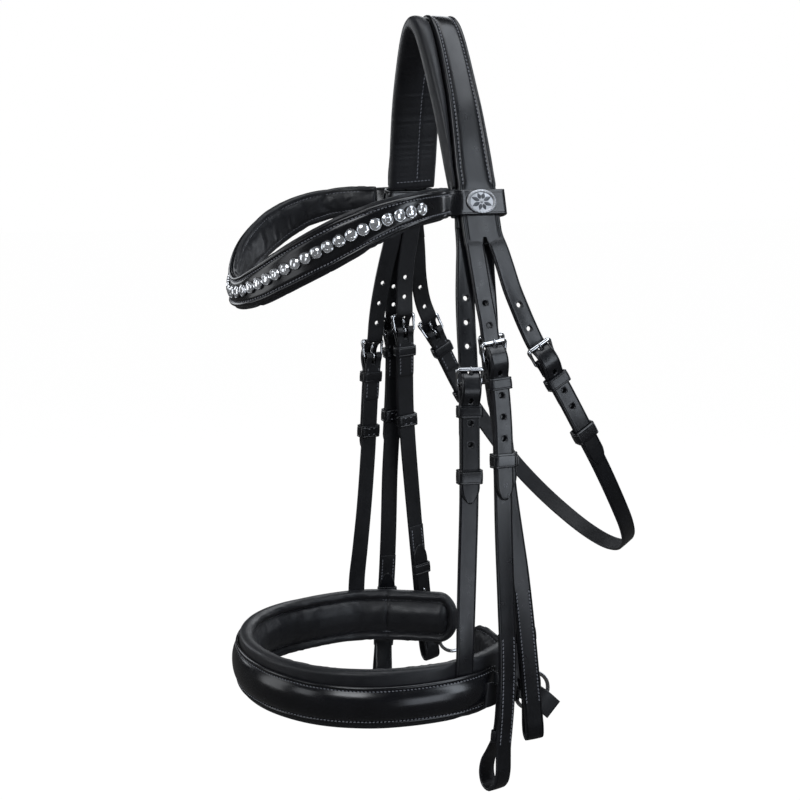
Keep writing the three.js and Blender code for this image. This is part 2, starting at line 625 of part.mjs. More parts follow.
function ringTab() {
  const line = track(TAB);
  const end = line.length;
  const strap = strip(line, stations(0, end, 9), {
    width: table([[0, 18], [14, 14], [end - 8, 11], [end, 10]]),
    thick: table([[0, TAB_T], [end - 12, TAB_T], [end - 7, RING_END_T], [end, RING_END_T]]),
    lift: -TAB_T / 2,
  });
  return minus(strap, ringBore);
}
function addNosebandLeather() {
  // The doubled band stops just behind the cheek strap.
  const bandStart = bisect(0, noseMiddle, (s) => nose.at(s).point.y > 4);
  const band = strip(nose, centred(noseMiddle, noseMiddle - bandStart, NOSE_STEP), {
    width: noseHeight,
    thick: NOSE_T,
    lift: -NOSE_T / 2,
    section: ROLLED,
  });
  const tab = ringTab();
  add("noseband_leather", union(band, tab, mirrorX(tab)), "leather");
}
function addNosebandPadding() {
  const taper = table([[3, 0.62], [12, 1]]); // distance from either end, share of full width
  add("noseband_padding", strip(nose, centred(noseMiddle, noseMiddle - 3, NOSE_STEP), {
    width: (s) => (noseHeight(s) + 8) * taper(Math.min(s, nose.length - s)),
    thick: NOSE_PAD_T,
    lift: -NOSE_T - NOSE_PAD_GAP - NOSE_PAD_T / 2,
    section: ROLLED,
  }), "lining");
}
const chin = track(CHIN);
function addChinStrap() {
  const strap = strip(chin, stations(0, chin.length, 8), {
    width: table([[0, 10], [10, 11], [26, 16]]),
    thick: table([[7, RING_END_T], [12, 2.4]]),
  });
  add("chin_strap", minus(strap, mirrorX(ringBore)), "leather");
}
function addChinPad() {
  const middle = chin.length * 0.47;
  const reach = 30;
  const taper = table([[-reach, 0.5], [-22, 1], [22, 1], [reach, 0.5]]);
  add("chin_pad", strip(chin, stations(middle - reach, middle + reach, 10), {
    width: (s) => 26 * taper(s - middle),
    thick: 5,
    lift: -4.2,
    section: ROLLED,
  }), "lining");
}
addNosebandLeather();
addNosebandPadding();
addPair("noseband_ring", ringTorus(RING_WIRE, 6), "metal");
addChinStrap();
addChinPad();

export default root;
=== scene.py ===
# The head of a double bridle in black leather, hanging as if worn.
# +Z is up, -Y is the front of the face, +X is the near side and -X the off side.
# The crown passes over the top at z = 10 and the bit loops hang to about z = -525.
# Lengths are millimetres; meshes are scaled to metres. The stage is in metres.
import json
import math

import bpy
import numpy as np
from mathutils import Matrix, Vector


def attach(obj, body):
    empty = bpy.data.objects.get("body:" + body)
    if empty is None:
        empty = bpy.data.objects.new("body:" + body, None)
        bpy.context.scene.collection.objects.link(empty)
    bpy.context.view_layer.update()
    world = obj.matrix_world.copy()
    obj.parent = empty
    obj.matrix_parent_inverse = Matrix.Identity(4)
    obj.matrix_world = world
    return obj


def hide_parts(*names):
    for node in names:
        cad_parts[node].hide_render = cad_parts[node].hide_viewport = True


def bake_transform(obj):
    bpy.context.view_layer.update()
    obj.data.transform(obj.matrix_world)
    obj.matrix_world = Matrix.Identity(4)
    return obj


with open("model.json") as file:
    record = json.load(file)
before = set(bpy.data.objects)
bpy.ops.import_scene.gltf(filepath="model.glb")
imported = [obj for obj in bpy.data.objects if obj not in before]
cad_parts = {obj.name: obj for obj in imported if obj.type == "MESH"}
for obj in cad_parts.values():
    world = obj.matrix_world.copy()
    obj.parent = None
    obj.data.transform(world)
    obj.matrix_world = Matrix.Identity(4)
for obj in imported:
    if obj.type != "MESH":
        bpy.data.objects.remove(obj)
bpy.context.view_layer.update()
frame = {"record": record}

RECORD = frame["record"]
BODY = {node: body for body, nodes in RECORD["behaviour"]["bodies"].items() for node in nodes}
MM = 0.001

# ---------------------------------------------------------------- driving sizes
STRAP_W = 14
STRAP_HALF = STRAP_W / 2
CHEEK_T = 3             # doubled cheek strap
BILLET_T = 2.4
BILLET_LIFT = 3.1       # billet above the cheek strap, below its buckle
GAP = 0.4               # play between a strap and its keeper
TOP_T = 3               # headpiece strap
SLIP_T = 1.8            # slipheads under the headpiece
SLIP_GAP = 0.35
HINGE_OUT = 0.9         # buckle hinge bar, out from the strap's line
TOPBAR_OUT = 3.6        # buckle front bar
RING_R = 14
RING_CENTRE = np.array([66.0, 56.0, -486.0])
HOLE_R = 1.75
HOLE_SPAN = 3.0         # half the square of mesh that holds a punched hole
STONE_R, STONE_COUNT, STONE_PITCH = 4.22, 39, 8.62
KEEPER_LOW = -CHEEK_T / 2 - GAP
KEEPER_HIGH = BILLET_LIFT + BILLET_T / 2 + GAP

# Strap edge profiles: inset from the edge, fraction of the thickness, relief of the face
EDGE = [(0, .3, 0), (.1, .66, 0), (.38, .92, 0), (.8, 1, 0)]
PLAIN = [(0, .25, 0), (.14, .62, 0), (.4, .9, 0), (.75, 1, .04), (1.1, 1, .05),
         (1.4, 1, -.30), (1.7, 1, .05), (2.3, 1, .01)]
TURNED = [(0, .3, 0), (.2, .8, 0), (.6, 1, 0)]
TURNED_NARROW = [(0, .3, 0), (.2, .8, 0), (.5, 1, 0)]

# Material slots of a leather piece; METAL follows them where a piece has a stud. The fifth slot
# holds painted shade: dark sheets laid in slots and stitch grooves
FACE, RIM, BACK, THREAD, PAINTED_SHADE, METAL = range(6)

# ---------------------------------------------------------------- measured lines
# Crown, near half from the middle: x, z
CROWN_POINTS = [
    [0, 10.472], [7, 8.672], [13.5, 4], [19.5, -4], [25, -14], [30, -24.5], [36, -38.5],
    [42, -54], [48.5, -75], [54.5, -97], [59, -113], [63, -128], [66.8, -142]]
# Near cheek lines from the top: x, y, z, and x of the direction across the strap (its y is 1)
NOSEBAND_CHEEK = [
    [60.2, -1.4, -138.4, 0], [61.6, -1.5, -144, 0.01], [64.2, -2.2, -154, 0.03],
    [68, -4.2, -168, 0.06], [72.4, -6.4, -185, 0.1], [78.2, -8.2, -208, 0.14],
    [83.2, -8.9, -234, 0.16], [86.5, -10, -265, 0.17], [90.8, -11.5, -324, 0.17],
    [94, -14, -373, 0.15], [97.4, -16.5, -410, 0.06], [100.6, -18.6, -440, -0.08],
    [101, -19.4, -477, -0.1]]
CURB_CHEEK = [
    [65.6, 2.2, -142.5, 0], [69.6, 3.0, -155, 0], [73.6, 4.0, -170, 0], [78, 5.4, -188, 0],
    [81.8, 6.9, -203, 0], [84.6, 8.6, -220, 0], [87.8, 11, -240, 0], [92, 12.4, -272, 0],
    [95.6, 12.2, -308, 0], [99.4, 11.6, -348, -0.02], [103.6, 12, -400, -0.08],
    [107.4, 11.8, -442, -0.16], [109.2, 10.4, -475, -0.22], [109.2, 8.4, -505, -0.26]]
BRIDOON_CHEEK = [
    [60.2, 13.8, -138.4, 0], [61.6, 13.6, -144, 0], [64.4, 12.8, -156, 0], [68, 12, -172, 0],
    [71.2, 12.0, -190, 0], [72.6, 12.6, -206, 0], [73.2, 13.4, -224, 0], [75.2, 14.8, -242, 0],
    [79.2, 16.6, -264, 0], [82.4, 18.4, -286, 0], [84.2, 20.4, -306, 0.03],
    [85.8, 22.8, -328, 0.06], [88.2, 26.4, -356, 0.1], [90.4, 29.8, -382, 0.14],
    [92.2, 34.2, -420, 0.18], [93.2, 38, -455, 0.2], [93.4, 41.2, -485, 0.2]]
# Throatlatch, near half: x, y, z, and z of the direction across (its y is 1)
THROAT = [
    [65.6, 18.2, -142.5, 0.02], [69.4, 21.6, -153.5, 0.06], [73.4, 24.4, -166, 0.14],
    [78, 27.4, -180.5, 0.24], [82.2, 31, -193, 0.34], [85.6, 35.6, -206, 0.42],
    [88, 43.4, -222, 0.5], [90.4, 52, -237.5, 0.56], [92.6, 62.5, -256, 0.6],
    [93.6, 79, -284.5, 0.64], [89.6, 96.5, -311, 0.66], [79.6, 119, -344, 0.66],
    [66.5, 136, -366, 0.66], [50, 149, -382, 0.66], [27, 158.5, -394, 0.66],
    [0, 162, -398.5, 0.66]]
# Noseband, near half: x, y, height of the band
NOSE = np.array([
    [60, 62.5, 16], [70, 52.5, 19], [80, 37.5, 25], [89.6, 22, 30], [98.2, 7, 30.6],
    [104.6, -8, 30.6], [107.6, -22, 30.6], [108.2, -40, 30.4], [106, -62, 30],
    [100.2, -85, 30], [89.6, -105.5, 30.4], [74, -123.5, 31], [54, -137.6, 32],
    [29, -148, 32.6], [0, -152, 33]])
NOSE_Z = -463.2
# Browband, near half: x, y, top z, bottom z
BROW = np.array([
    [62.6, -9.6, -112.4, -129.8], [69.4, -16, -112.4, -130.2], [79.2, -28.6, -112.6, -131.6],
    [86.2, -46, -114.4, -134.4], [88, -65, -118, -139.6], [85.2, -82, -123, -147],
    [79.2, -97.5, -129.4, -155.6], [71, -111, -137, -164], [60, -123.4, -145.4, -172],
    [46.4, -134.4, -154.4, -180.2], [31, -143, -163, -187.4], [15.6, -148.8, -169.6, -191.6],
    [0, -150.6, -172.2, -193]])
# Near tab from the noseband to its ring: x, y, z
TAB = [[101.2, 1, -466.4], [97.4, 8.4, -468], [91, 18, -471], [84.2, 27.6, -476],
       [76, 35.4, -481], [69.4, 40, -484.6], [63.4, 43.6, -486]]
# Chin strap from the off side: x, y, z, then the direction across it
CHIN = [
    [-63, 71.4, -486, 0, 0, -1], [-56, 65, -486.4, 0, 0, -1], [-42, 58.4, -483.6, 0, -0.1, -1],
    [-20, 55.6, -476, 0, -0.2, -1], [0, 55, -472.6, 0, -0.25, -1], [20, 55, -476, 0, -0.3, -1],
    [40, 54.6, -484, 0, -0.36, -0.9], [55, 54.4, -487.4, 0, -0.6, -0.8],
    [64, 56, -488, 0, -0.72, -0.7], [69.6, 62, -492.4, 0, -0.74, -0.68],
    [71.8, 72, -502, 0, -0.72, -0.7]]
# Bit loops past the end of a cheek line, in its side plane: along, outward
CURB_LOOP = [
    [8, 1.1], [18, 1.8], [27, .2], [32.5, -5.4], [31, -11.5], [24, -15], [14, -14.4],
    [4, -9.6], [-6, -5.2], [-16, -3.6], [-34, -3.4], [-50, -3.4], [-68, -3.4]]
BRIDOON_LOOP = [
    [8, .4], [18, .2], [25, -1.6], [27.6, -5], [25, -8.2], [18, -8.4], [8, -6.2],
    [-4, -3.8], [-14, -3.4], [-30, -3.4], [-50, -3.4], [-75, -3.4]]


# ---------------------------------------------------------------- curves and tracks
def curve(points, fractions):
    """Places and derivatives on a centripetal Catmull-Rom curve at fractions 0 to 1."""
    spans = len(points) - 1
    place = np.clip(fractions, 0, 1) * spans
    index = np.minimum(np.floor(place).astype(int), spans - 1)
    u = (place - index)[:, None]
    padded = np.vstack([2 * points[0] - points[1], points, 2 * points[-1] - points[-2]])
    before, start, stop, after = (padded[index + i] for i in range(4))

    def knot(a, b):
        return (((a - b) ** 2).sum(1) ** 0.25)[:, None]

    knot0, knot1, knot2 = knot(before, start), knot(start, stop), knot(stop, after)
    knot1 = np.where(knot1 < 1e-4, 1, knot1)
    knot0 = np.where(knot0 < 1e-4, knot1, knot0)
    knot2 = np.where(knot2 < 1e-4, knot1, knot2)
    slope1 = ((start - before) / knot0 - (stop - before) / (knot0 + knot1)
              + (stop - start) / knot1) * knot1
    slope2 = ((stop - start) / knot1 - (after - start) / (knot1 + knot2)
              + (after - stop) / knot2) * knot1
    square = -3 * start + 3 * stop - 2 * slope1 - slope2
    cube = 2 * start - 2 * stop + slope1 + slope2
    return (start + slope1 * u + square * u ** 2 + cube * u ** 3,
            slope1 + 2 * square * u + 3 * cube * u ** 2)


def run_length(points):
    """Distance run at each point of a polyline."""
    return np.concatenate([[0], np.cumsum(np.linalg.norm(np.diff(points, axis=0), axis=1))])


class Track:
    """A line through rows of place and across direction, measured by distance along it."""

    def __init__(self, rows):
        rows = np.array(rows, float)
        self.points, self.across = rows[:, :3], rows[:, 3:6]
        self.fractions = np.linspace(0, 1, 1201)
        self.run = run_length(curve(self.points, self.fractions)[0])
        self.length = float(self.run[-1])

    def at(self, s):
        """Places with unit vectors along, across and outward; straight past the ends."""
        s = np.atleast_1d(np.asarray(s, float))
        fraction = np.interp(s, self.run, self.fractions)
        place, along = curve(self.points, fraction)
        along /= np.linalg.norm(along, axis=1)[:, None]
        across, _ = curve(self.across, fraction)
        across = across - along * (across * along).sum(1)[:, None]
        across /= np.linalg.norm(across, axis=1)[:, None]
        beyond = np.where(s < 0, s, np.where(s > self.length, s - self.length, 0.0))
        return place + along * beyond[:, None], along, across, np.cross(along, across)

    def frame(self, s):
        return [values[0] for values in self.at(s)]

    def at_z(self, z, low=0.0, high=None):
        """Distance at which a descending stretch passes height z."""
        high = self.length if high is None else high
        for _ in range(40):
            middle = (low + high) / 2
            if self.frame(middle)[0][2] > z:
                low = middle
            else:
                high = middle
        return (low + high) / 2

    def put(self, s, points, lift=0.0):
        """Places points (x across, y outward, z along) at distance s."""
        place, along, across, out = self.frame(s)
        q = np.asarray(points, float).reshape(-1, 3)
        return place + q[:, :1] * across + (q[:, 1:2] + lift) * out + q[:, 2:] * along


def as_function(value):
    return value if callable(value) else (lambda s: np.full(np.shape(s), float(value)))


def table(rows):
    return lambda s: np.interp(s, [r[0] for r in rows], [r[1] for r in rows])


def mirror_rows(rows):
    """Near-half rows ending at the middle, continued to the off side."""
    return rows + [[-r[0]] + list(r[1:]) for r in rows[:-1]][::-1]


def symmetric(track, stops, values):
    """A table that reads the same from either end of a track."""
    return lambda s: np.interp(np.minimum(s, track.length - s), stops, values)


def crown_row(x, z):
    y = np.interp(-z, [-10, 40, 80, 113, 142], [1.4, 4.2, 7.2, 9.6, 10.2])
    return [x, float(y), z, 0, 1, 0]


def cheek_track(rows):
    return Track([[x, y, z, lean, 1, 0] for x, y, z, lean in rows])


def brow_rows(points):
    return [[x, y, (top + bottom) / 2, 0, 0, -1] for x, y, top, bottom in points.tolist()]


crown_line = Track([crown_row(-x, z) for x, z in CROWN_POINTS[1:]][::-1]
                   + [crown_row(x, z) for x, z in CROWN_POINTS])
crown_mid = crown_line.length / 2
noseband_line = cheek_track(NOSEBAND_CHEEK)
curb_line = cheek_track(CURB_CHEEK)
bridoon_line = cheek_track(BRIDOON_CHEEK)
throat_line = Track(mirror_rows([[x, y, z, 0, 1, lean] for x, y, z, lean in THROAT]))
nose_line = Track(mirror_rows([[x, y, NOSE_Z, 0, 0, -1] for x, y, _ in NOSE.tolist()]))
brow_line = Track(mirror_rows(brow_rows(BROW)))
tab_line = Track([point + [0, 0, -1] for point in TAB])
chin_line = Track(CHIN)

nose_height = symmetric(nose_line, run_length(NOSE[:, :2]), NOSE[:, 2])
brow_height = symmetric(
    brow_line, run_length(np.c_[BROW[:, :2], (BROW[:, 2] + BROW[:, 3]) / 2]),
    BROW[:, 2] - BROW[:, 3])


def crown_run(z):
    """Distance from the middle of the crown down to height z."""
    return crown_line.at_z(z, crown_mid, crown_line.length) - crown_mid


def from_top(rows):
    """A table read by distance from the middle of the crown, to either side."""
    return lambda s: table(rows)(np.abs(np.asarray(s, float) - crown_mid))


# ---------------------------------------------------------------- meshes
class Mesh:
    """Points in millimetres, faces, and a material index for each face."""

    def __init__(self):
        self.verts, self.faces, self.mats, self.count = [], [], [], 0

    def add(self, verts, faces, mat=0):
        verts = np.asarray(verts, float).reshape(-1, 3)
        base = self.count
        self.verts.append(verts)
        self.faces.extend([[i + base for i in face] for face in faces])
        self.mats.extend(list(mat) if hasattr(mat, "__len__") else [mat] * len(faces))
        self.count += len(verts)
        return self

    def points(self):
        return np.vstack(self.verts)

    def merge(self, other, mat_shift=0):
        return self.add(other.points(), other.faces, [i + mat_shift for i in other.mats])

    def mirrored(self):
        return Mesh().add(self.points() * [-1, 1, 1], [f[::-1] for f in self.faces], self.mats)

    def to_object(self, name, materials, sharp):
        data = bpy.data.meshes.new(name)
        data.from_pydata((self.points() * MM).tolist(), [], self.faces)
        for material in materials:
            data.materials.append(material)
        data.polygons.foreach_set("material_index", self.mats)
        data.polygons.foreach_set("use_smooth", [True] * len(self.faces))
        data.set_sharp_from_angle(angle=math.radians(sharp))
        data.validate()
        data.update()
        return link(bpy.data.objects.new(name, data))


def link(obj):
    bpy.context.scene.collection.objects.link(obj)
    return obj


def bands(rings, size, closed=False, flip=False):
    """Quads between successive rings of points; closed joins the last ring to the first."""
    faces = []
    for i in range(rings if closed else rings - 1):
        a, b = i * size, (i + 1) % rings * size
        for k in range(size):
            n = (k + 1) % size
            faces.append([a + k, b + k, b + n, a + n] if flip else [a + k, a + n, b + n, b + k])
    return faces


def shell(rings, size, flip=False):
    """Bands with a face over each end."""
    first = list(range(size))
    last = [(rings - 1) * size + k for k in first]
    ends = [first, last[::-1]] if flip else [first[::-1], last]
    return bands(rings, size, flip=flip) + ends


def circle(radius, y, count):
    """A circle in the face plane at height y."""
    turns = [2 * math.pi * k / count for k in range(count)]
    return [[radius * math.cos(a), y, radius * math.sin(a)] for a in turns]


def outward(mesh):
    """Turns faces outward by the sign of the enclosed volume."""
    v = mesh.points()
    volume = 0.0
    for face in mesh.faces:
        for i in range(1, len(face) - 1):
            volume += np.dot(v[face[0]], np.cross(v[face[i]], v[face[i + 1]]))
    if volume < 0:
        mesh.faces = [face[::-1] for face in mesh.faces]
    return mesh


def weld(mesh, grid=1e-3):
    """Joins coincident points and drops faces that collapse."""
    v = mesh.points()
    keys = np.round(v / grid).astype(np.int64)
    _, first, inverse = np.unique(keys, axis=0, return_index=True, return_inverse=True)
    inverse = inverse.ravel()
    faces, mats = [], []
    for face, mat in zip(mesh.faces, mesh.mats):
        kept = []
        for i in face:
            k = int(inverse[i])
            if not kept or kept[-1] != k:
                kept.append(k)
        if len(kept) > 1 and kept[0] == kept[-1]:
            kept.pop()
        if len(set(kept)) == len(kept) and len(kept) >= 3:
            faces.append(kept)
            mats.append(mat)
    return Mesh().add(v[first], faces, mats)


def loft(line, stations, section):
    """A closed form through rings of (across, outward) along a line."""
    rings = [np.asarray(section(float(s)), float) for s in stations]
    place, _, across, out = line.at(stations)
    verts = np.vstack([place[i] + np.outer(ring[:, 0], across[i]) + np.outer(ring[:, 1], out[i])
                       for i, ring in enumerate(rings)])
    return Mesh().add(verts, shell(len(rings), len(rings[0]), flip=True))


def stations_between(start, end, insets, gap, count):
    """Even stations, with closer ones at the given insets from both ends."""
    insets = np.array(insets)
    return np.concatenate([start + insets, np.linspace(start + gap, end - gap, count),
                           end - insets[::-1]])


def tube(path, radius, sides=10, closed=False, up=None):
    """A round wire along points; without a fixed up the section rolls with the path."""
    path = np.asarray(path, float)
    count = len(path)
    along = np.roll(path, -1, 0) - np.roll(path, 1, 0)
    if not closed:
        along[0] = path[1] - path[0]
        along[-1] = path[-1] - path[-2]
    along /= np.linalg.norm(along, axis=1)[:, None]
    guide = np.asarray(up if up is not None else [0.3, 0.5, 0.8], float)
    radii = np.broadcast_to(radius, (count,))
    verts = []
    for i in range(count):
        a = guide - along[i] * (guide @ along[i])
        a /= np.linalg.norm(a)
        b = np.cross(along[i], a)
        if up is None:
            guide = a
        for k in range(sides):
            turn = 2 * math.pi * k / sides
            verts.append(path[i] + (a * math.cos(turn) + b * math.sin(turn)) * radii[i])
    faces = bands(count, sides, closed=True) if closed else shell(count, sides)
    return outward(Mesh().add(verts, faces))


def smooth_ring(points, count):
    """A closed smooth curve through the points, resampled evenly."""
    points = np.array(points, float)
    padded = np.vstack([points[-2:], points, points[:3]])
    steps = 2 + np.linspace(0, len(points), count * 6, endpoint=False)
    fine, _ = curve(np.c_[padded, np.zeros(len(padded))], steps / (len(padded) - 1))
    fine = np.vstack([fine[:, :2], fine[:1, :2]])
    run = run_length(fine)
    even = np.linspace(0, run[-1], count, endpoint=False)
    return np.c_[np.interp(even, run, fine[:, 0]), np.interp(even, run, fine[:, 1])]


def rounded_loop(x_half, low, high, radius, corner_steps, longest, spacing):
    """Points round a rounded rectangle, each followed by its outward direction."""
    right, top, bottom = x_half - radius, high - radius, low + radius
    corners = ((right, top, 0), (-right, top, 90), (-right, bottom, 180), (right, bottom, 270))
    points = []
    for x, y, first in corners:
        for k in range(corner_steps + 1):
            a = math.radians(first + 90 * k / corner_steps)
            points.append(np.array([x + radius * math.cos(a), y + radius * math.sin(a),
                                    math.cos(a), math.sin(a)]))
    loop = []
    for i, point in enumerate(points):
        following = points[(i + 1) % len(points)]
        loop.append(point)
        side = math.dist(point[:2], following[:2])
        if side > longest:
            extra = int(side // spacing)
            for k in range(1, extra + 1):
                f = k / (extra + 1)
                loop.append(point * (1 - f) + following * f)
    return np.array(loop)


def side_track(line, s, points):
    """A track in the side plane of a strap through (along, outward) points from distance s."""
    place, along, across, out = line.frame(s)
    return Track([list(place + along * a + out * b) + list(across) for a, b in points])


# ---------------------------------------------------------------- leatherwork
def strap(line, start, end, half, thick, full_half, lift=0.0, shift=0.0, step=3.0,
          profile=PLAIN, holes=(), crown=.22, ends=(1, 1)):
    """A strap bent along a line, with burnished edges lightened by a painted highlight, creases and
    punched holes.

    half, thick, lift and shift may be functions of distance. The profile is laid out at
    full_half and scaled to half. ends says which of the two ends are rounded over."""
    half, thick, lift, shift = map(as_function, (half, thick, lift, shift))
    stations = list(np.linspace(start, end, max(2, int(round((end - start) / step))) + 1))
    if ends[0]:
        stations += [start + .25, start + .8]
    if ends[1]:
        stations += [end - .25, end - .8]
    for hole in holes:
        stations = [s for s in stations
                    if abs(s - hole) > HOLE_SPAN + .35 or s in (start, end)]
        stations += [hole + k * HOLE_SPAN / 2 for k in (-2, -1, 0, 1, 2)]
    stations = np.array(sorted(set(round(s, 5) for s in stations)))
    insets, fractions, reliefs = (list(column) for column in zip(*profile))
    grid = [-3.0, -1.5, 0, 1.5, 3.0]  # columns that frame the holes
    x_top = np.array([-full_half + e for e in insets] + grid
                     + [full_half - e for e in insets[::-1]])
    fraction_top = np.array(fractions + [1] * 5 + fractions[::-1])
    relief_top = np.array(reliefs + [0] * 5 + reliefs[::-1])
    top_count, grid_start = len(x_top), len(insets)
    count = 2 * top_count

    def taper(s):
        r = np.ones(np.shape(s))
        if ends[0]:
            r = np.minimum(r, np.interp(s - start, [0, .25, .8], [.45, .82, 1]))
        if ends[1]:
            r = np.minimum(r, np.interp(end - s, [0, .25, .8], [.45, .82, 1]))
        return r

    def face_y(x, s, fraction=1.0, relief=0.0):
        dome = crown * np.clip(1 - (x / full_half) ** 2, 0, 1)
        return thick(s) / 2 * fraction * taper(s) + relief + dome

    def position(x, y, s):
        x, y, s = (q.ravel() for q in np.broadcast_arrays(x, y, s))
        place, _, across, out = line.at(s)
        scale = half(s) / full_half
        return place + across * (x * scale + shift(s))[:, None] + out * (y + lift(s))[:, None]

    def index(i, j):
        return i * count + j % count

    s, x = np.meshgrid(stations, np.concatenate([x_top, x_top[::-1]]), indexing="ij")
    fraction = np.concatenate([fraction_top, fraction_top[::-1]])[None, :]
    relief = np.concatenate([relief_top, relief_top[::-1]])[None, :]
    is_top = (np.arange(count) < top_count)[None, :]
    y = np.where(is_top, face_y(x, s, fraction, relief * taper(s)),
                 -thick(s) / 2 * fraction * taper(s))
    verts = position(x, y, s)

    hole_rows = {h: int(np.argmin(np.abs(stations - (h - HOLE_SPAN)))) for h in holes}
    open_quads = set()
    for row in hole_rows.values():
        for i in range(row, row + 4):
            for q in range(grid_start, grid_start + 4):
                open_quads |= {(i, q), (i, count - 2 - q)}
    faces, mats = [], []
    last = len(stations) - 1
    for i in range(last):
        for j in range(count):
            if (i, j) in open_quads:
                continue
            faces.append([index(i, j), index(i + 1, j), index(i + 1, j + 1), index(i, j + 1)])
            if j < 2 or top_count - 3 <= j < top_count + 2 or j >= count - 3:
                mats.append(RIM)
            else:
                mats.append(FACE if j < top_count else BACK)
    faces.append([index(0, j) for j in range(count)])
    faces.append([index(last, j) for j in range(count)][::-1])
    mesh = Mesh().add(verts, faces, mats + [RIM, RIM])

    # Each hole runs from a square of the face mesh, through its wall, to one of the back
    border = ([(0, q) for q in range(4)] + [(q, 4) for q in range(4)]
              + [(4, 4 - q) for q in range(4)] + [(4 - q, 0) for q in range(4)])
    turn = -3 * math.pi / 4 + np.arange(16) * math.pi / 8
    for hole, row in hole_rows.items():
        scale = float(half(np.array([hole]))[0] / full_half)
        rings = [verts[[index(row + i, grid_start + q) for i, q in border]]]
        for radius, depth in ((HOLE_R + .8, .05), (HOLE_R + .35, -.14), (HOLE_R, -.6)):
            x, s = np.cos(turn) * radius / scale, hole + np.sin(turn) * radius
            rings.append(position(x, face_y(x, s) + depth, s))
        for radius, depth in ((HOLE_R, .2), (HOLE_R + .25, .0)):
            x, s = np.cos(turn) * radius / scale, hole + np.sin(turn) * radius
            rings.append(position(x, -thick(s) / 2 + depth, s))
        rings.append(verts[[index(row + i, count - 1 - grid_start - q) for i, q in border]])
        mesh.add(np.vstack(rings), [face[::-1] for face in bands(7, 16)],
                 [FACE] * 16 + [RIM] * 64 + [BACK] * 16)
    return mesh


# One stitch at unit size: six rings of six points, closing to a point at both ends
STITCH = np.array([
    [radius * math.cos(2 * math.pi * k / 6), radius * math.sin(2 * math.pi * k / 6), z]
    for radius, z in ((0, -1), (.72, -.72), (1, -.3), (1, .3), (.72, .72), (0, 1))
    for k in range(6)])
STITCH_FACES = bands(6, 6)
STITCH_TILT = .16


def stitch_at(line, s, point, lift=0.0, across=False, length=2.1, radius=.36):
    """One stitch, lying along or across the strap."""
    centre = line.put(s, [point], lift)
    _, along, sideways, out = line.frame(s)
    way, side = (sideways, along) if across else (along, sideways)
    form = STITCH * np.array([radius, radius * .8, length / 2])
    verts = centre + form[:, :1] * side + form[:, 1:2] * out + form[:, 2:] * way
    return weld(Mesh().add(verts, STITCH_FACES, THREAD), 1e-4)


def stitches(line, start, end, x, height, pitch=3.0, length=2.35, radius=.37, side=1, groove=0.0):
    """A row of slanted stitches; with a groove depth they lie in a narrow channel of painted shade.
    """
    x = as_function(x)
    count = max(1, int(round((end - start) / pitch)))
    s = start + (np.arange(count) + .5) * (end - start) / count
    place, along, across, out = line.at(s)
    centre = place + across * x(s)[:, None] + out * height
    way = along * math.cos(STITCH_TILT) + across * math.sin(STITCH_TILT) * side
    wide = np.cross(way, out)
    form = STITCH * np.array([radius * 1.15, radius * .8, length / 2])
    verts = (centre[:, None, :] + form[None, :, :1] * wide[:, None, :]
             + form[None, :, 1:2] * out[:, None, :] + form[None, :, 2:] * way[:, None, :])
    faces = [[i * 36 + q for q in face] for i in range(count) for face in STITCH_FACES]
    mesh = weld(Mesh().add(verts, faces, THREAD), 1e-4)
    if groove:
        # The groove is a thin dark box of painted shade under the stitches
        s = np.linspace(start, end, count + 1)
        place, _, across, out = line.at(s)
        centre = place + across * x(s)[:, None] + out * (height - groove)
        left, right, down = centre - across * .55, centre + across * .55, out * .35
        verts = np.stack([left, right, right - down, left - down], 1)
        mesh.merge(outward(Mesh().add(verts, shell(count + 1, 4), PAINTED_SHADE)))
    return mesh


def seam_pair(mesh, line, start, end, offset, height, centre=0.0, **thread):
    """Two rows of stitches at an offset to either side of a centre."""
    offset, centre = as_function(offset), as_function(centre)
    for side in (-1, 1):
        mesh.merge(stitches(line, start, end, lambda s: centre(s) + side * offset(s), height,
                            side=side, **thread))


def keeper(line, s, width, low, high, length, thick=1.5, stitch_back=False, radius=1.5):
    """A leather loop round the strap, with rounded edges and two pressed lines."""
    bottom = low - thick / 2
    loop = rounded_loop(width / 2 + thick / 2, bottom, high + thick / 2, radius,
                        corner_steps=5, longest=2.2, spacing=2)
    end = length / 2
    # Half section from the inner face over the edge: offset outward, inset from the end
    edge = [(-thick / 2, .3), (-thick * .25, 0), (thick * .25, 0), (thick * .44, .22),
            (thick / 2, .6), (thick / 2 + .03, 1.1), (thick / 2 - .26, 1.4),
            (thick / 2 + .03, 1.7)]
    section = ([(o, -end + i) for o, i in edge] + [(thick / 2 + .12, 0)]
               + [(o, end - i) for o, i in edge[::-1]])
    verts = [np.c_[loop[:, :2] + loop[:, 2:] * o, np.full(len(loop), z)] for o, z in section]
    count = len(section)
    mats = [RIM if k < 3 or k > count - 4 else FACE for k in range(count) for _ in loop]
    mesh = Mesh().add(line.put(s, np.vstack(verts)), bands(count, len(loop), closed=True), mats)
    if stitch_back:
        for z in (-end + 2.6, end - 2.6):
            for x in (-2.4, 2.4):
                mesh.merge(stitch_at(line, s, [x, bottom - thick / 2 - .06, z], across=True))
    return mesh


def tip_half(end, run=11.0):
    """Half-width of a strap that narrows to a rounded tip."""
    return lambda s: np.interp(end - np.asarray(s, float), [0, .4, 1.3, 2.8, 4.8, 7.2, run],
                               [.9, 1.6, 2.6, 3.8, 5.1, 6.3, STRAP_HALF])


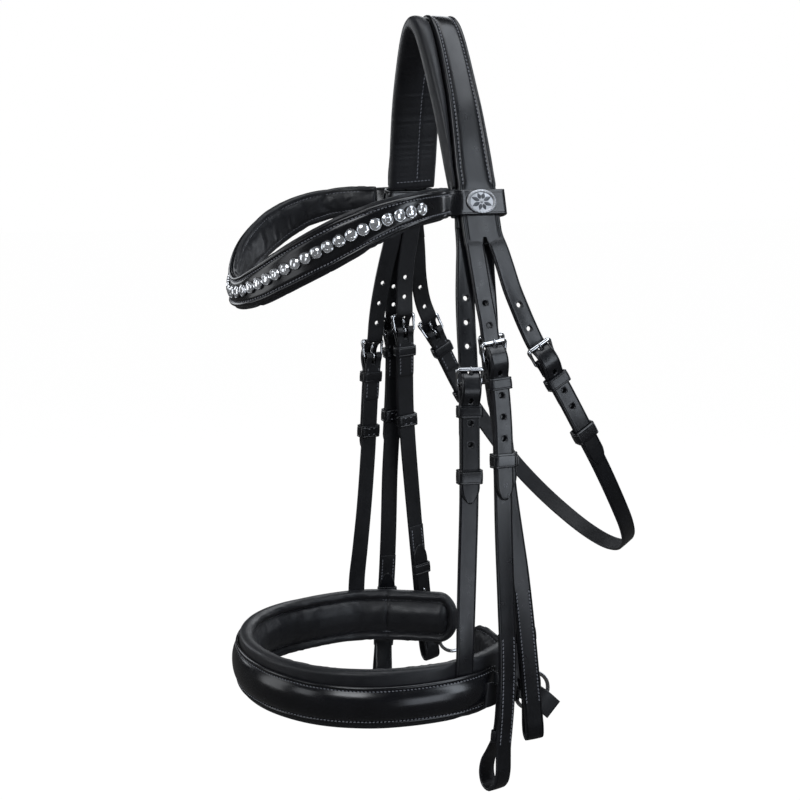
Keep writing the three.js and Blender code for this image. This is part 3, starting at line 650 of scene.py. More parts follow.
def ring_wrap(line, s, wire, side, head, tail, half, thick):
    """The strap end turned round a ring wire; side is 1 if the wire lies further along."""
    place, along, _, out = line.frame(s)
    ahead, above = float((wire - place) @ along), float((wire - place) @ out)
    neck = ahead - side * 3.6
    turns = [math.radians(a) for a in range(110, -111, -22)]
    path = head + [(neck, above + 2.2)]
    path += [(ahead + side * 2.55 * math.cos(a), above + 2.55 * math.sin(a)) for a in turns]
    path += [(neck, above - 2.2)] + tail
    track = side_track(line, s, path)
    return strap(track, 0, track.length, half, thick, half, step=1.2, profile=TURNED, crown=.05)


# ---------------------------------------------------------------- section shapes
def band_section(half, edge, centre, under):
    """Face and underside of a flat band. edge holds (inset, y); under two of them and a y."""
    (inset1, y1), (inset2, y2), y3 = under
    face = ([(-half + e, y) for e, y in edge] + [(0, centre)]
            + [(half - e, y) for e, y in edge[::-1]])
    right = [(half - inset1, y1), (half - inset2, y2), (half * .5, y3)]
    return face, right + [(0, y3)] + [(-x, y) for x, y in right[::-1]]


def rolled_edge(rows, roll):
    """Mixes rows of (inset, flat y, rolled y) by how far the edge is rolled, 0 to 1."""
    return [(inset, flat * (1 - roll) + rolled * roll) for inset, flat, rolled in rows]


def pad_section(half, side, outer_y, inner_y, count):
    """A symmetric pad; side holds (inset, y) from the outer face round to the inner face."""
    right = [(half - e, y) for e, y in side]
    left = [(-half + e, y) for e, y in side]
    ring = [left[0], (0, outer_y)] + right + [(0, inner_y)] + left[:0:-1]
    return smooth_ring(ring, count)


def closed_ends(section, start, end, radius, level):
    """Rounds a section off towards both ends, about the given outward level."""
    def at(s):
        ring = np.array(section(s))
        d = min(s - start, end - s)
        q = 1.0 if d >= radius else math.sqrt(max(0.0, 1 - (1 - d / radius) ** 2))
        q = max(q, .12)
        ring[:, 1] = level + (ring[:, 1] - level) * q
        ring[:, 0] *= 1 - .25 * (1 - q) * radius / 18
        return ring
    return at


def puff(mesh, pinned, name, grow, cap, frames=14):
    """Blows the free panels of a pad out between its pinned seams, by at most cap."""
    rest = mesh.points()
    scale = 10.0  # simulated at ten times size, where the solver is steadier
    data = bpy.data.meshes.new(name + "_sim")
    data.from_pydata((rest * MM * scale).tolist(), [], [f for f in mesh.faces if len(f) <= 4])
    data.update()
    obj = link(bpy.data.objects.new(name + "_sim", data))
    group = obj.vertex_groups.new(name="pin")
    group.add([int(i) for i in np.nonzero(pinned)[0]], 1.0, "REPLACE")
    cloth = obj.modifiers.new("Cloth", "CLOTH")
    settings = cloth.settings
    settings.quality = 4
    settings.mass = .3
    settings.tension_stiffness = 12
    settings.compression_stiffness = 12
    settings.shear_stiffness = 4
    settings.bending_stiffness = .4
    settings.use_pressure = True
    settings.uniform_pressure_force = 3
    settings.shrink_min = -grow
    settings.vertex_group_mass = "pin"
    settings.pin_stiffness = 1.0
    settings.effector_weights.gravity = 0.0
    cloth.collision_settings.use_collision = False
    cloth.collision_settings.use_self_collision = False
    cloth.point_cache.frame_start = 1
    cloth.point_cache.frame_end = frames
    scene = bpy.context.scene
    for number in range(1, frames + 1):
        scene.frame_set(number)
    evaluated = obj.evaluated_get(bpy.context.evaluated_depsgraph_get())
    result = evaluated.to_mesh()
    flat = np.zeros(len(result.vertices) * 3, np.float32)
    result.vertices.foreach_get("co", flat)
    moved = flat.reshape(-1, 3).astype(float) * 1000 / scale
    evaluated.to_mesh_clear()
    bpy.data.objects.remove(obj)
    bpy.data.meshes.remove(data)
    scene.frame_set(1)
    if not np.isfinite(moved).all():  # an unstable simulation leaves the pad as drawn
        return mesh
    move = moved - rest
    size = np.linalg.norm(move, axis=1)
    move *= (cap * np.tanh(size / cap) / np.maximum(size, 1e-9))[:, None]
    return Mesh().add(np.round(rest + move, 4), mesh.faces, mesh.mats)


# ---------------------------------------------------------------- materials
def surface(name, base, rough, metal=0.0, coat=0.0, specular=.5, sheen=0.0, variation=.25,
            wear=0.0, grain=0.0, grain_scale=900, wrinkle=0.0, wrinkle_scale=60, scratch=0.0):
    """Mottled leather, thread, metal or stone. grain, wrinkle and scratch are bump
    strengths; wear lightens raised edges; variation is the spread of the base colour."""
    material = bpy.data.materials.new(name)
    material.use_nodes = True
    tree = material.node_tree
    join = tree.links.new
    shader = tree.nodes["Principled BSDF"]

    def node(kind, **values):
        made = tree.nodes.new("ShaderNode" + kind)
        for key, value in values.items():
            made.inputs[key.replace("_", " ")].default_value = value
        return made

    def noise(vector, **values):
        made = node("TexNoise", **values)
        join(vector, made.inputs["Vector"])
        return made.outputs["Fac"]

    def bump(height, strength, distance, below):
        made = node("Bump", Strength=strength, Distance=distance)
        join(height, made.inputs["Height"])
        if below:
            join(below, made.inputs["Normal"])
        return made.outputs["Normal"]

    inputs = {"Metallic": metal, "Specular IOR Level": specular, "Coat Weight": coat,
              "Coat Roughness": .16}
    if sheen:
        inputs.update({"Sheen Weight": sheen, "Sheen Roughness": .45})
    for key, value in inputs.items():
        shader.inputs[key].default_value = value

    place = node("TexCoord").outputs["Object"]
    mottle = noise(place, Scale=34, Detail=5)
    ramp = node("ValToRGB")
    base = np.array(base)
    low, high = ramp.color_ramp.elements
    low.position, low.color = .3, (*(base * (1 - variation)), 1)
    high.position, high.color = .72, (*(base * (1 + variation)), 1)
    join(mottle, ramp.inputs["Fac"])
    colour = ramp.outputs["Color"]
    if wear:
        geometry = node("NewGeometry")
        raised = node("MapRange", From_Min=.53, From_Max=.62)
        join(geometry.outputs["Pointiness"], raised.inputs["Value"])
        amount = node("Math")
        amount.operation = "MULTIPLY"
        amount.inputs[1].default_value = wear
        join(raised.outputs["Result"], amount.inputs[0])
        mix = node("Mix")
        mix.data_type = "RGBA"
        join(amount.outputs[0], mix.inputs["Factor"])
        join(colour, mix.inputs["A"])
        mix.inputs["B"].default_value = (.075, .075, .082, 1)
        colour = mix.outputs["Result"]
    join(colour, shader.inputs["Base Color"])

    smear = noise(place, Scale=120, Detail=6)
    gloss = node("MapRange", From_Min=.3, From_Max=.7, To_Min=rough * .84, To_Max=rough * 1.18)
    join(smear, gloss.inputs["Value"])
    join(gloss.outputs["Result"], shader.inputs["Roughness"])

    normal = None
    if grain:
        cells = node("TexVoronoi", Scale=grain_scale)
        cells.feature = "F1"
        join(place, cells.inputs["Vector"])
        fine = noise(place, Scale=grain_scale * .6, Detail=4)
        total = node("Math")
        total.operation = "ADD"
        join(cells.outputs["Distance"], total.inputs[0])
        join(fine, total.inputs[1])
        normal = bump(total.outputs[0], grain, .00012, normal)
    if wrinkle:
        folds = noise(place, Scale=wrinkle_scale, Detail=7, Roughness=.6)
        normal = bump(folds, wrinkle, .0012, normal)
    if scratch:
        stretch = node("Mapping", Scale=(40, 900, 300))
        join(place, stretch.inputs["Vector"])
        lines = noise(stretch.outputs["Vector"], Scale=3, Detail=6)
        normal = bump(lines, scratch, .00008, normal)
    if normal:
        join(normal, shader.inputs["Normal"])
    return material


bridle_leather = surface("bridle_leather", (.0042, .0046, .0064), rough=.31, coat=.32,
                         grain=.20, grain_scale=1500, wrinkle=.03, wrinkle_scale=40, wear=.12)
glossy_leather = surface("glossy_leather", (.0040, .0043, .0058), rough=.24, coat=.55,
                         grain=.06, grain_scale=1500, wrinkle=.012, wrinkle_scale=30, wear=.1)
# Edges: burnished leather, made lighter than the face as a painted highlight along the edges
burnished_edge_painted_highlight = surface("burnished_edge_painted_highlight", (.0095, .0100, .0125), rough=.32, coat=.35,
                         grain=.10, grain_scale=900, variation=.4)
cut_shadow = surface("cut_shadow", (.0010, .0010, .0012), rough=.9, specular=.05, variation=.3)
strap_back = surface("strap_back", (.0058, .0061, .0078), rough=.46, grain=.30,
                     grain_scale=1100, wrinkle=.04, wrinkle_scale=90, variation=.3, sheen=.03)
soft_lining = surface("soft_lining", (.0078, .0083, .0108), rough=.45, coat=.06, grain=.40,
                      grain_scale=1000, wrinkle=.10, wrinkle_scale=80, variation=.22, sheen=.05)
# Thread: black thread coloured light grey, a painted highlight where it catches the light
thread_painted_highlight = surface("thread_painted_highlight", (.15, .155, .175), rough=.32, grain=.4,
                       grain_scale=2600, variation=.3, sheen=.3)
bright_metal = surface("bright_metal", (.70, .71, .73), rough=.11, metal=1, scratch=.2,
                       variation=.06)
medallion_silver = surface("medallion_silver", (.50, .505, .52), rough=.38, metal=1,
                           scratch=.4, variation=.12)
medallion_ground = surface("medallion_ground", (.13, .135, .145), rough=.42, metal=1,
                           grain=.6, grain_scale=1500, variation=.3)
stone_cup = surface("stone_cup", (.70, .71, .73), rough=.18, metal=1, scratch=.2,
                    variation=.06)
crystal = surface("crystal", (.88, .89, .91), rough=.10, metal=.80, coat=.9, variation=.05)
LEATHER = [bridle_leather, burnished_edge_painted_highlight, strap_back, thread_painted_highlight, cut_shadow]
GLOSSY = [glossy_leather, burnished_edge_painted_highlight, strap_back, thread_painted_highlight, cut_shadow]
SOFT = [soft_lining, burnished_edge_painted_highlight, strap_back, thread_painted_highlight]


def piece(node, mesh, materials, sharp=38, blend=None):
    """Makes the object for a CAD node; blend is (body, start, end) for a flexing piece, which is
    then left unattached with its transform baked; its body and ends are not used.
    """
    obj = mesh.to_object(node + "_fine", materials, sharp)
    if blend:
        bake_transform(obj)
    else:
        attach(obj, BODY[node])
    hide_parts(node)


def pair(node, mesh, materials, sharp=38, blend=None):
    """A near piece and its mirror on the off side."""
    for side, sign in (("near", 1), ("off", -1)):
        fit = None
        if blend:
            body, *ends = blend
            fit = (body.format(side), *([sign * x, y, z] for x, y, z in ends))
        form = mesh if sign > 0 else mesh.mirrored()
        piece(f"{side}_{node}", form, materials, sharp, fit)


# ---------------------------------------------------------------- crown
LOOP_Z = -121.2                         # height of the browband loops
pad_end = crown_run(LOOP_Z) - 11.1      # half-lengths from the middle of the crown
strap_end = crown_run(-141.6) + 9.0
slip_end = crown_run(-137.4)
top_width = from_top([[0, 22], [70, 24.5], [125, 29], [152, 30.4], [171, 30.7], [181, 32.6]])
top_shift = from_top([[0, 5.4], [70, 3.2], [125, .4], [152, 0], [171, .1], [181, 1.25]])
top_roll = from_top([[0, 1], [pad_end - 3, 1], [pad_end + .4, .0], [140, 0]])
# Inset from the edge, y where the edge is flat, y where it is rolled
CROWN_EDGE = [
    (0, -1.7, -1.7), (.12, -.9, -.9), (.5, -.2, .05), (1.1, .1, .55), (1.9, .08, .78),
    (2.7, .1, .62), (3.3, -.2, .1), (3.8, 0, -.42), (4.3, .1, -.42), (4.9, .1, .05),
    (5.7, .12, .30), (7.4, .15, .41), (9.2, .18, .50)]


def split_stop(mesh, side):
    """The arched slot at a strap end, where it divides into billets, filled with a dark sheet of
    painted shade, and its raised rim.
    """
    shift = float(top_shift(crown_mid + side * (strap_end - 4.4)))

    def point(x, back, y):
        return crown_line.put(crown_mid + side * (strap_end - back), [[shift + x, y, 0]])[0]

    # Outline: x across, distance back from the strap end
    arc = [(1.5 * math.cos(a), 4.4 + 1.5 * math.sin(a)) for a in np.linspace(0, math.pi, 13)]
    right, left = [(2.8, .6), (2.1, 2.2)], [(-2.1, 2.2), (-2.8, .6)]
    rim = [point(x, back, .2 if back > 1 else -.1) for x, back in right + arc + left]
    mesh.merge(tube(rim, .3, 8), RIM)
    # The slot is a thin near-black slab: painted shade where the gap between the billets falls in
    # shadow
    outline = arc + left + [(-3.1, -.5), (3.1, -.5)] + right
    slot = [point(x, back, (.27 if back > 1 else .1) - depth)
            for depth in (0, .45) for x, back in outline]
    n = len(outline)
    faces = [list(range(n)), list(range(2 * n - 1, n - 1, -1))]
    faces += [[(k + 1) % n, k, n + k, n + (k + 1) % n] for k in range(n)]
    mesh.merge(outward(Mesh().add(slot, faces, PAINTED_SHADE)))


def headpiece_strap():
    def section(s):
        roll, shift = float(top_roll(s)), float(top_shift(s))
        face, under = band_section(float(top_width(s)) / 2, rolled_edge(CROWN_EDGE, roll),
                                   .2 + .36 * roll, ((.12, -2.3), (.6, -2.8), -2.9))
        droop = float(np.interp(strap_end - abs(s - crown_mid), [0, .5, 1.0], [-1.3, -.3, 0]))
        return [(x + shift, y + droop) for x, y in face] + [(x + shift, y) for x, y in under]

    closer = strap_end - np.array([.25, .5, 1.0, 1.5])
    even = np.linspace(crown_mid - strap_end, crown_mid + strap_end, 173)
    stations = np.sort(np.concatenate([even, crown_mid - closer, crown_mid + closer]))
    mesh = loft(crown_line, stations, section)
    seam_pair(mesh, crown_line, crown_mid - pad_end + 2, crown_mid + pad_end - 2,
              lambda s: top_width(s) / 2 - 4.05, -.06, centre=top_shift, pitch=2.9,
              radius=.42, groove=.25)
    for side in (-1, 1):
        split_stop(mesh, side)
    piece("headpiece_strap", mesh, LEATHER, sharp=50)


def slipheads():
    """Two thin straps under the headpiece: width and shift by distance from the middle."""
    lift = -TOP_T - SLIP_GAP - SLIP_T / 2
    for name, widths, shifts in (
            ("noseband_sliphead", [[0, 10], [60, 11], [110, 13], [135, 14]],
             [[0, 1.5], [60, 1.2], [98, -2], [110, -6.5], [125, -10.6], [135, -11.6]]),
            ("bridoon_sliphead", [[0, 9], [60, 10], [110, 13], [135, 14]],
             [[0, 11.2], [60, 9.6], [110, 7], [135, 3.4]])):
        mesh = strap(crown_line, crown_mid - slip_end, crown_mid + slip_end,
                     lambda s: from_top(widths)(s) / 2, SLIP_T, STRAP_HALF, lift,
                     from_top(shifts), step=4, crown=.05)
        piece(name, mesh, LEATHER)


def headpiece_padding():
    """A fat roll in front of the strap, a thin one behind, and a ribbed lining inside."""
    pad_half = from_top([[0, 19], [pad_end - 20, 18.9], [pad_end, 18.6]])
    fatness = from_top([[0, 1], [70, 1], [pad_end - 10, .95], [pad_end, .8]])
    size = 64

    def section(s):
        h, fat = float(pad_half(s)), float(fatness(s))
        shift, strap_half = float(top_shift(s)), float(top_width(s)) / 2
        front = shift - strap_half - .2
        rear = shift + strap_half
        mid = (-h + front) / 2
        outer = [(-h, -7.6), (-h + .5, -5.2 + 1.6 * fat), (-h + 1.8, -4.6 + 3.3 * fat),
                 (mid - 1.5, -4.3 + 4.1 * fat), (mid + 1.2, -4.3 + 4.0 * fat),
                 (front - 1.2, -4.5 + 3.0 * fat), (front - .1, -5.0 + 1.2 * fat),
                 (front + .8, -5.7), (0, -5.75), (8, -5.75), (rear - 1.6, -5.6),
                 (rear - .2, -4.9), (h - 1.2, -4.6), (h - .2, -6.0)]
        inner = [(h, -7.9), (h - 1.0, -9.4), (h - 4, -10.2), (6, -10.4), (3.6, -10.0),
                 (2.6, -9.7), (1.6, -10.0), (-1, -10.4), (-6, -10.45), (-h + 4, -10.3),
                 (-h + 1.2, -9.6)]
        return smooth_ring(outer + inner, size)

    stations = stations_between(crown_mid - pad_end, crown_mid + pad_end, [0, .5, 1.2, 2.2],
                                gap=3.6, count=150)
    mesh = loft(crown_line, stations,
                closed_ends(section, stations[0], stations[-1], radius=2.4, level=-7.9))

    # Uneven ribs where the lining gathers round the bend
    verts = mesh.points()
    s = np.repeat(stations, size)
    place, _, across, out = crown_line.at(s)
    height = ((verts - place) * out).sum(1)
    x = ((verts - place) * across).sum(1)
    random = np.random.default_rng(3)
    phases = np.cumsum(random.uniform(.5, 1.6, 400))
    sizes = random.uniform(.25, 1.0, 400)
    knots = np.arange(400) * .55
    run = np.abs(s - crown_mid)
    rib = np.sin(np.interp(run, knots, phases)) * np.interp(run, knots, sizes)
    fade = np.interp(run, [0, 8, 20, pad_end - 18, pad_end - 8, pad_end], [.5, 1, 1, 1, .25, 0])
    fade = fade * np.clip((-9.0 - height) / 1.0, 0, 1)
    fade = fade * (.55 + .45 * np.sin(x * .35 + 1.0) ** 2)
    mesh.verts = [verts + out * (rib * fade * .7)[:, None]]

    for side in (-1, 1):  # a cross row near each end of the lining
        row = crown_mid + side * (pad_end - 6.5)
        for x in np.arange(-13.5, 14, 2.9):
            mesh.merge(stitch_at(crown_line, row, [x, -10.62, 0], across=True))
    mesh.merge(stitches(crown_line, crown_mid - pad_end + 8, crown_mid + pad_end - 8,
                        2.6, -10.05, radius=.32))
    piece("headpiece_padding", mesh, SOFT, sharp=60)


# ---------------------------------------------------------------- buckles and billets
# A billet's rise over its buckle: distance past the hinge, lift. Smoothed below.
BILLET_RISE = [
    [-26, 0], [-18, -.35], [-14, -.2], [-12.4, .2], [-11, 2.0], [-9.2, 4.4], [-7, 6.1],
    [-4, 7.2], [-1, 7.6], [2, 7.4], [5, 6.6], [8, 5.2], [11, 3.6], [13, 3.15],
    [15, BILLET_LIFT]]
rise_stops = np.linspace(-30, 20, 201)
smoothing = np.hanning(13)
smoothing /= smoothing.sum()
rise_values = np.convolve(np.pad(table(BILLET_RISE)(rise_stops), 6, mode="edge"), smoothing,
                          mode="valid")


def buckle_frame(line, s):
    """Half buckle: rounded sides and a raised, thicker front bar."""
    half_width, length = 8.9, 12.6
    slope = math.atan2(TOPBAR_OUT - HINGE_OUT, length)
    loop = rounded_loop(half_width, 0, length, 1.9, corner_steps=6, longest=1.5, spacing=1.3)
    sides = 14
    verts = []
    for x, reach, x_way, reach_way in loop:
        f = reach / length
        wide, tall = 1.05 + .45 * f ** 3, .85 + .75 * max(0, f - .5) / .5
        bow = .18 * max(0, f - .6) / .4 * (1 - (x / half_width) ** 2)
        for k in range(sides):
            a = 2 * math.pi * k / sides
            o, h = (math.copysign(abs(q) ** .8, q) * r
                    for q, r in ((math.cos(a), wide), (math.sin(a), tall)))
            along = reach + reach_way * o
            verts.append([(x + x_way * o) * (.94 + .11 * f ** 1.5),
                          HINGE_OUT + along * math.tan(slope) + h * math.cos(slope) + bow,
                          -along + h * math.sin(slope)])
    faces = bands(len(loop), sides, closed=True)
    return outward(Mesh().add(line.put(s, verts), faces))


def buckle_tongue(line, s):
    """An eye round the hinge bar and a prong that rises over the front bar."""
    turns = [math.radians(a) for a in range(110, 470, 15)]
    eye = [[0, HINGE_OUT + 2.2 * math.sin(a), 2.2 * math.cos(a)] for a in turns]
    # Prong: outward, along, radius
    prong = [(HINGE_OUT + 2.2, 0, .918), (3.3, -2.0, 1.08), (3.3, -4.4, 1.134),
             (2.9, -6.6, 1.134), (3.1, -8.6, 1.08), (4.3, -10.3, 1.0584), (5.75, -12.0, .972),
             (5.95, -13.4, .756), (5.55, -14.4, .378)]
    path, _ = curve(np.array([[0, y, z] for y, z, _ in prong]), np.linspace(0, 1, 25))
    radii = np.interp(np.linspace(0, 8, 25), range(9), [row[2] for row in prong])
    return tube(line.put(s, eye), .82, 8).merge(tube(line.put(s, path), radii, 10))


def strap_head(line, hinge, lap, width=STRAP_W):
    """The end turned back round the buckle bar, its stitched lap, and the fixed keeper."""
    mesh = Mesh()
    turns = [math.radians(a) for a in range(60, 301, 24)]
    path = [(9.5, .95), (6, 1.15), (3.2, 2.6)]
    path += [(2.95 * math.cos(a), HINGE_OUT + 2.95 * math.sin(a)) for a in turns]
    path += [(3.2, -1.2), (6, -1.05), (9.5, -1.05)]
    track = side_track(line, hinge, path)
    for shift in (-4.45, 4.45):
        mesh.merge(strap(track, 0, track.length, 2.45, 1.3, 4.0, shift=shift, step=1.0,
                         profile=TURNED_NARROW, crown=0, ends=(0, 0)))
    half, end = width / 2, hinge + lap
    mesh.merge(strap(line, hinge + 7, end,
                     lambda s: np.interp(end - s, [0, .8, 2], [half - 1.3, half - .4, half - .15]),
                     1.0, half - .15, -1.0, step=4, profile=EDGE, ends=(0, 1), crown=0))
    seam_pair(mesh, line, hinge + 9, end - 2, half - 1.9, -1.66)
    return mesh.merge(keeper(line, hinge + 16.5, STRAP_W + 2 * GAP, -CHEEK_T / 2 + .2,
                             KEEPER_HIGH, 8.4))


def billet(name, line, hinge, end, holes, blend):
    wide_top = name in ("curb", "throat")
    start = 1.0 if wide_top else -5.0
    if wide_top:
        root_half = table([[0, 7.3], [6, 7.2], [14, STRAP_HALF]])
        root_lift = table([[0, -.22], [6, -.16], [9, -.02], [22, 0]])
    else:
        root_half = as_function(STRAP_HALF)
        root_lift = table([[start, .3], [start + 3, -.05], [start + 6, -.15], [start + 20, 0]])
    tip = tip_half(end)
    mesh = strap(line, start, end, lambda s: np.minimum(tip(s), root_half(s)),
                 table([[start, .7], [start + 3.4, 2.2], [start + 5.5, BILLET_T]]), STRAP_HALF,
                 lambda s: np.interp(s - hinge, rise_stops, rise_values) + root_lift(s),
                 holes=[hinge + h for h in holes] + [hinge - 10.4], step=2.2, ends=(0, 1))
    if name == "curb":  # a diamond of four small stitches near the tip
        for k in range(4):
            a = math.radians(90 * k + 45)
            point = [1.1 * math.sin(a), BILLET_T / 2 + .16, 1.1 * math.cos(a)]
            mesh.merge(stitch_at(line, end - 10.5, point, BILLET_LIFT, length=1.4, radius=.42))
    pair(name + "_billet", mesh, LEATHER, blend=blend)


curb_hinge, bridoon_hinge = curb_line.at_z(-229), bridoon_line.at_z(-226)
noseband_hinge = noseband_line.at_z(-247)
throat_hinge = throat_line.at_z(-231, 0, throat_line.length / 2)
# Line, hinge, then past the hinge: tip, sliding keeper and holes; then body and flexing span
BUCKLED = {
    "curb": (curb_line, curb_hinge, 98, 70, [-40, -24.5, 9, 24.6, 39.6, 54.6],
             ("{}_curb_cheek", [65.6, 2.2, -141.5], [76.5, 4.8, -181])),
    "bridoon": (bridoon_line, bridoon_hinge, 98, 76, [-44, -28, 9, 24.6, 39.6, 54.6],
                ("{}_bridoon_cheek", [60.2, 13.8, -138], [69.5, 12, -180])),
    "noseband": (noseband_line, noseband_hinge, 81, 62, [-62, -45, -28.5, 9, 24.6, 39.6],
                 ("noseband", [60.2, -1.4, -138], [72.4, -6.4, -185])),
    "throat": (throat_line, throat_hinge, 90, 61, [-44, -26, 9, 24.6, 38],
               ("throatlatch", [65.6, 18.2, -141.5], [80, 29, -187])),
}


def buckled_straps():
    for name, (line, hinge, tip, slide, holes, blend) in BUCKLED.items():
        billet(name, line, hinge, hinge + tip, holes, blend)
        pair(name + "_buckle", buckle_frame(line, hinge), [bright_metal], sharp=60)
        pair(name + "_tongue", buckle_tongue(line, hinge), [bright_metal], sharp=60)
        loop = keeper(line, hinge + slide, STRAP_W + 2 * GAP, KEEPER_LOW, KEEPER_HIGH, 10,
                      stitch_back=True)
        pair(name + "_sliding_keeper", loop, GLOSSY)


def bit_cheekpiece(name, line, hinge, loop, lap, keepers):
    """A cheekpiece whose lower end loops round the bit and returns up the inside."""
    end = line.length
    mesh = strap_head(line, hinge, 38)
    outer_end = end - 9
    mesh.merge(strap(line, hinge + 5.5, outer_end, STRAP_HALF, 2.1, STRAP_HALF, .42,
                     ends=(1, 0), crown=.3))
    rows = []
    for s in (outer_end, end):
        place, along, across, out = line.frame(s)
        rows.append(list(place + out * .42) + list(across))
    rows += [list(place + along * a + out * b) + list(across) for a, b in loop]
    track = Track(rows)
    length = track.length
    mesh.merge(strap(track, 0, length, tip_half(length, run=11.5),
                     table([[0, 2.1], [20, 2.0], [length - 60, 2.0], [length - 40, 1.7]]),
                     STRAP_HALF, step=2.0, ends=(0, 1), crown=.25))
    # inner layer of the doubled, stitched lower end
    mesh.merge(strap(line, end - lap, end - 2, 6.85, 1.0, 6.85, -1.1, step=4, profile=EDGE,
                     crown=0))
    for side in (-1, 1):
        for height, thread in ((1.86, dict(radius=.44, groove=.19)), (-1.75, {})):
            mesh.merge(stitches(line, end - lap + 3, end - 3, side * 4.75, height,
                                side=side, pitch=2.8, **thread))
    for back in keepers:
        mesh.merge(keeper(line, end - back, STRAP_W + .3, -4.75, -2.3, 9, thick=1.2, radius=1.2))
    # stud that holds the returned end
    stud = line.put(end - 35, [[0, y, 0] for y in (-4.2, -5.0, -5.5, -5.75)])
    mesh.merge(tube(stud, [1.0, .9, 1.5, 1.0], 12), METAL)
    pair(name + "_cheekpiece", mesh, LEATHER + [bright_metal])


def noseband_strap():
    mesh = strap_head(noseband_line, noseband_hinge, 36)
    end = noseband_line.length
    mesh.merge(strap(noseband_line, noseband_hinge + 5.5, end, STRAP_HALF, 2.1, STRAP_HALF,
                     table([[end - 44, .42], [end - 30, 0]]), step=3.2))
    pair("noseband_strap", mesh, LEATHER)


def throat_strap():
    head = strap_head(throat_line, throat_hinge, 36, width=13)
    mesh = Mesh().merge(head).merge(head.mirrored())
    mesh.merge(strap(throat_line, throat_hinge + 5.5, throat_line.length - throat_hinge - 5.5,
                     6.6, 2.0, 6.6, .42, step=3.4, crown=.2))
    piece("throat_strap", mesh, LEATHER)


# ---------------------------------------------------------------- browband
# The band starts flat on its crown loop, from rear to front, then runs round the forehead
loop_at = crown_mid + crown_run(LOOP_Z)
loop_along = crown_line.frame(loop_at)[1]
LOOP_XS = (19.6, 10, 0, -9, -15.5)
band_rows = [list(crown_line.put(loop_at, [[x, 3.0, 0]])[0]) + list(loop_along) for x in LOOP_XS]
band_rows += [[69.6, -16.8, -121.2, .1, 0, -.99], [78.4, -27.4, -122.0, 0, 0, -1]]
band_rows += brow_rows(BROW[3:])
band_line = Track(mirror_rows(band_rows))
band_mid = band_line.length / 2
band_samples = np.linspace(0, band_mid, 1200)
band_places = band_line.at(band_samples)[0]
band_stops = [
    band_samples[int(np.linalg.norm(band_places - np.array(row[:3]), axis=1).argmin())]
    for row in band_rows]
band_height = symmetric(
    band_line, band_stops,
    [18.2] * len(LOOP_XS) + [18.0, 18.9] + [top - bottom for _, _, top, bottom in BROW[3:]])
loop_end = band_stops[len(LOOP_XS) - 1]
# Inset from the edge, y where the edge is flat, y where it is rolled
BAND_EDGE = [
    (0, -1.5, -1.5), (.12, -.8, -.8), (.4, -.3, -.3), (.9, 0, .35), (1.5, .05, .67),
    (2.1, -.2, .6), (2.7, .04, .34), (3.15, .05, -.30), (3.6, .05, -.37), (4.1, .05, -.15),
    (4.7, .06, .11), (6.2, .08, .08)]


def browband_leather():
    def section(s):
        run = min(s, band_line.length - s)
        roll = float(np.interp(run - loop_end, [8, 22], [0, 1]))
        face, under = band_section(float(band_height(s)) / 2, rolled_edge(BAND_EDGE, roll), .1,
                                   ((.12, -2.0), (.6, -2.4), -2.45))
        thin = float(np.interp(run, [0, .5, 1.4], [.45, .8, 1]))
        return [(x, -1.2 + (y + 1.2) * thin) for x, y in face + under]

    stations = stations_between(0, band_line.length, [0, .5, 1.4], gap=3, count=190)
    mesh = loft(band_line, stations, section)
    first = loop_end + 13
    seam_pair(mesh, band_line, first, band_line.length - first,
              lambda s: band_height(s) / 2 - 3.4, -.04, pitch=2.5, length=1.95, radius=.38,
              groove=.22)
    loop = weld(keeper(crown_line, loop_at, 38.8, -TOP_T - SLIP_GAP - SLIP_T - 1.5, .45, 18,
                       radius=3.0))
    mesh.merge(loop).merge(loop.mirrored())
    piece("browband_leather", mesh, GLOSSY, sharp=55)


def browband_padding():
    size, groove = 44, 3.8  # points in a section; inset of the sewn groove
    side = [(.8, -2.9), (-.1, -3.9), (-.2, -5.1), (.8, -6.5), (2.2, -7.0), (3.3, -6.5),
            (groove, -6.1), (4.3, -6.5), (6, -7.4)]

    def half(s):
        return float(brow_height(s)) / 2 + 1.3

    def section(s):
        return pad_section(half(s), side, -2.8, -7.8, size)

    length = brow_line.length
    stations = stations_between(4, length - 4, [0, .5, 1.2, 2.2, 3.6], gap=6, count=176)
    mesh = loft(brow_line, stations,
                closed_ends(section, stations[0], stations[-1], radius=3.0, level=-5.0))
    x, y = np.vstack([section(float(s)) for s in stations]).T
    row = np.repeat(np.arange(len(stations)), size)
    seam = np.repeat([half(float(s)) for s in stations], size) - groove
    pinned = ((y > -3.6) | (np.abs(np.abs(x) - seam) < .45)
              | (row < 6) | (row > len(stations) - 7))
    mesh = puff(mesh, pinned, "browpad", grow=.03, cap=.7)
    seam_pair(mesh, brow_line, 18, length - 18, lambda s: brow_height(s) / 2 - 2.5, -6.25,
              pitch=2.9, radius=.26)
    piece("browband_padding", mesh, SOFT, sharp=60)


def cup(s):
    """A round metal cup with a thin raised lip; rings of radius and height."""
    radius = STONE_R
    profile = [(radius - .3, .05), (radius, .45), (radius + .02, 1.3), (radius - .12, 1.75),
               (radius - .3, 1.86), (radius - .48, 1.72), (radius - .56, 1.3)]
    verts = [point for r, y in profile for point in circle(r, y, 24)]
    return outward(Mesh().add(band_line.put(s, verts, .12), shell(len(profile), 24)))


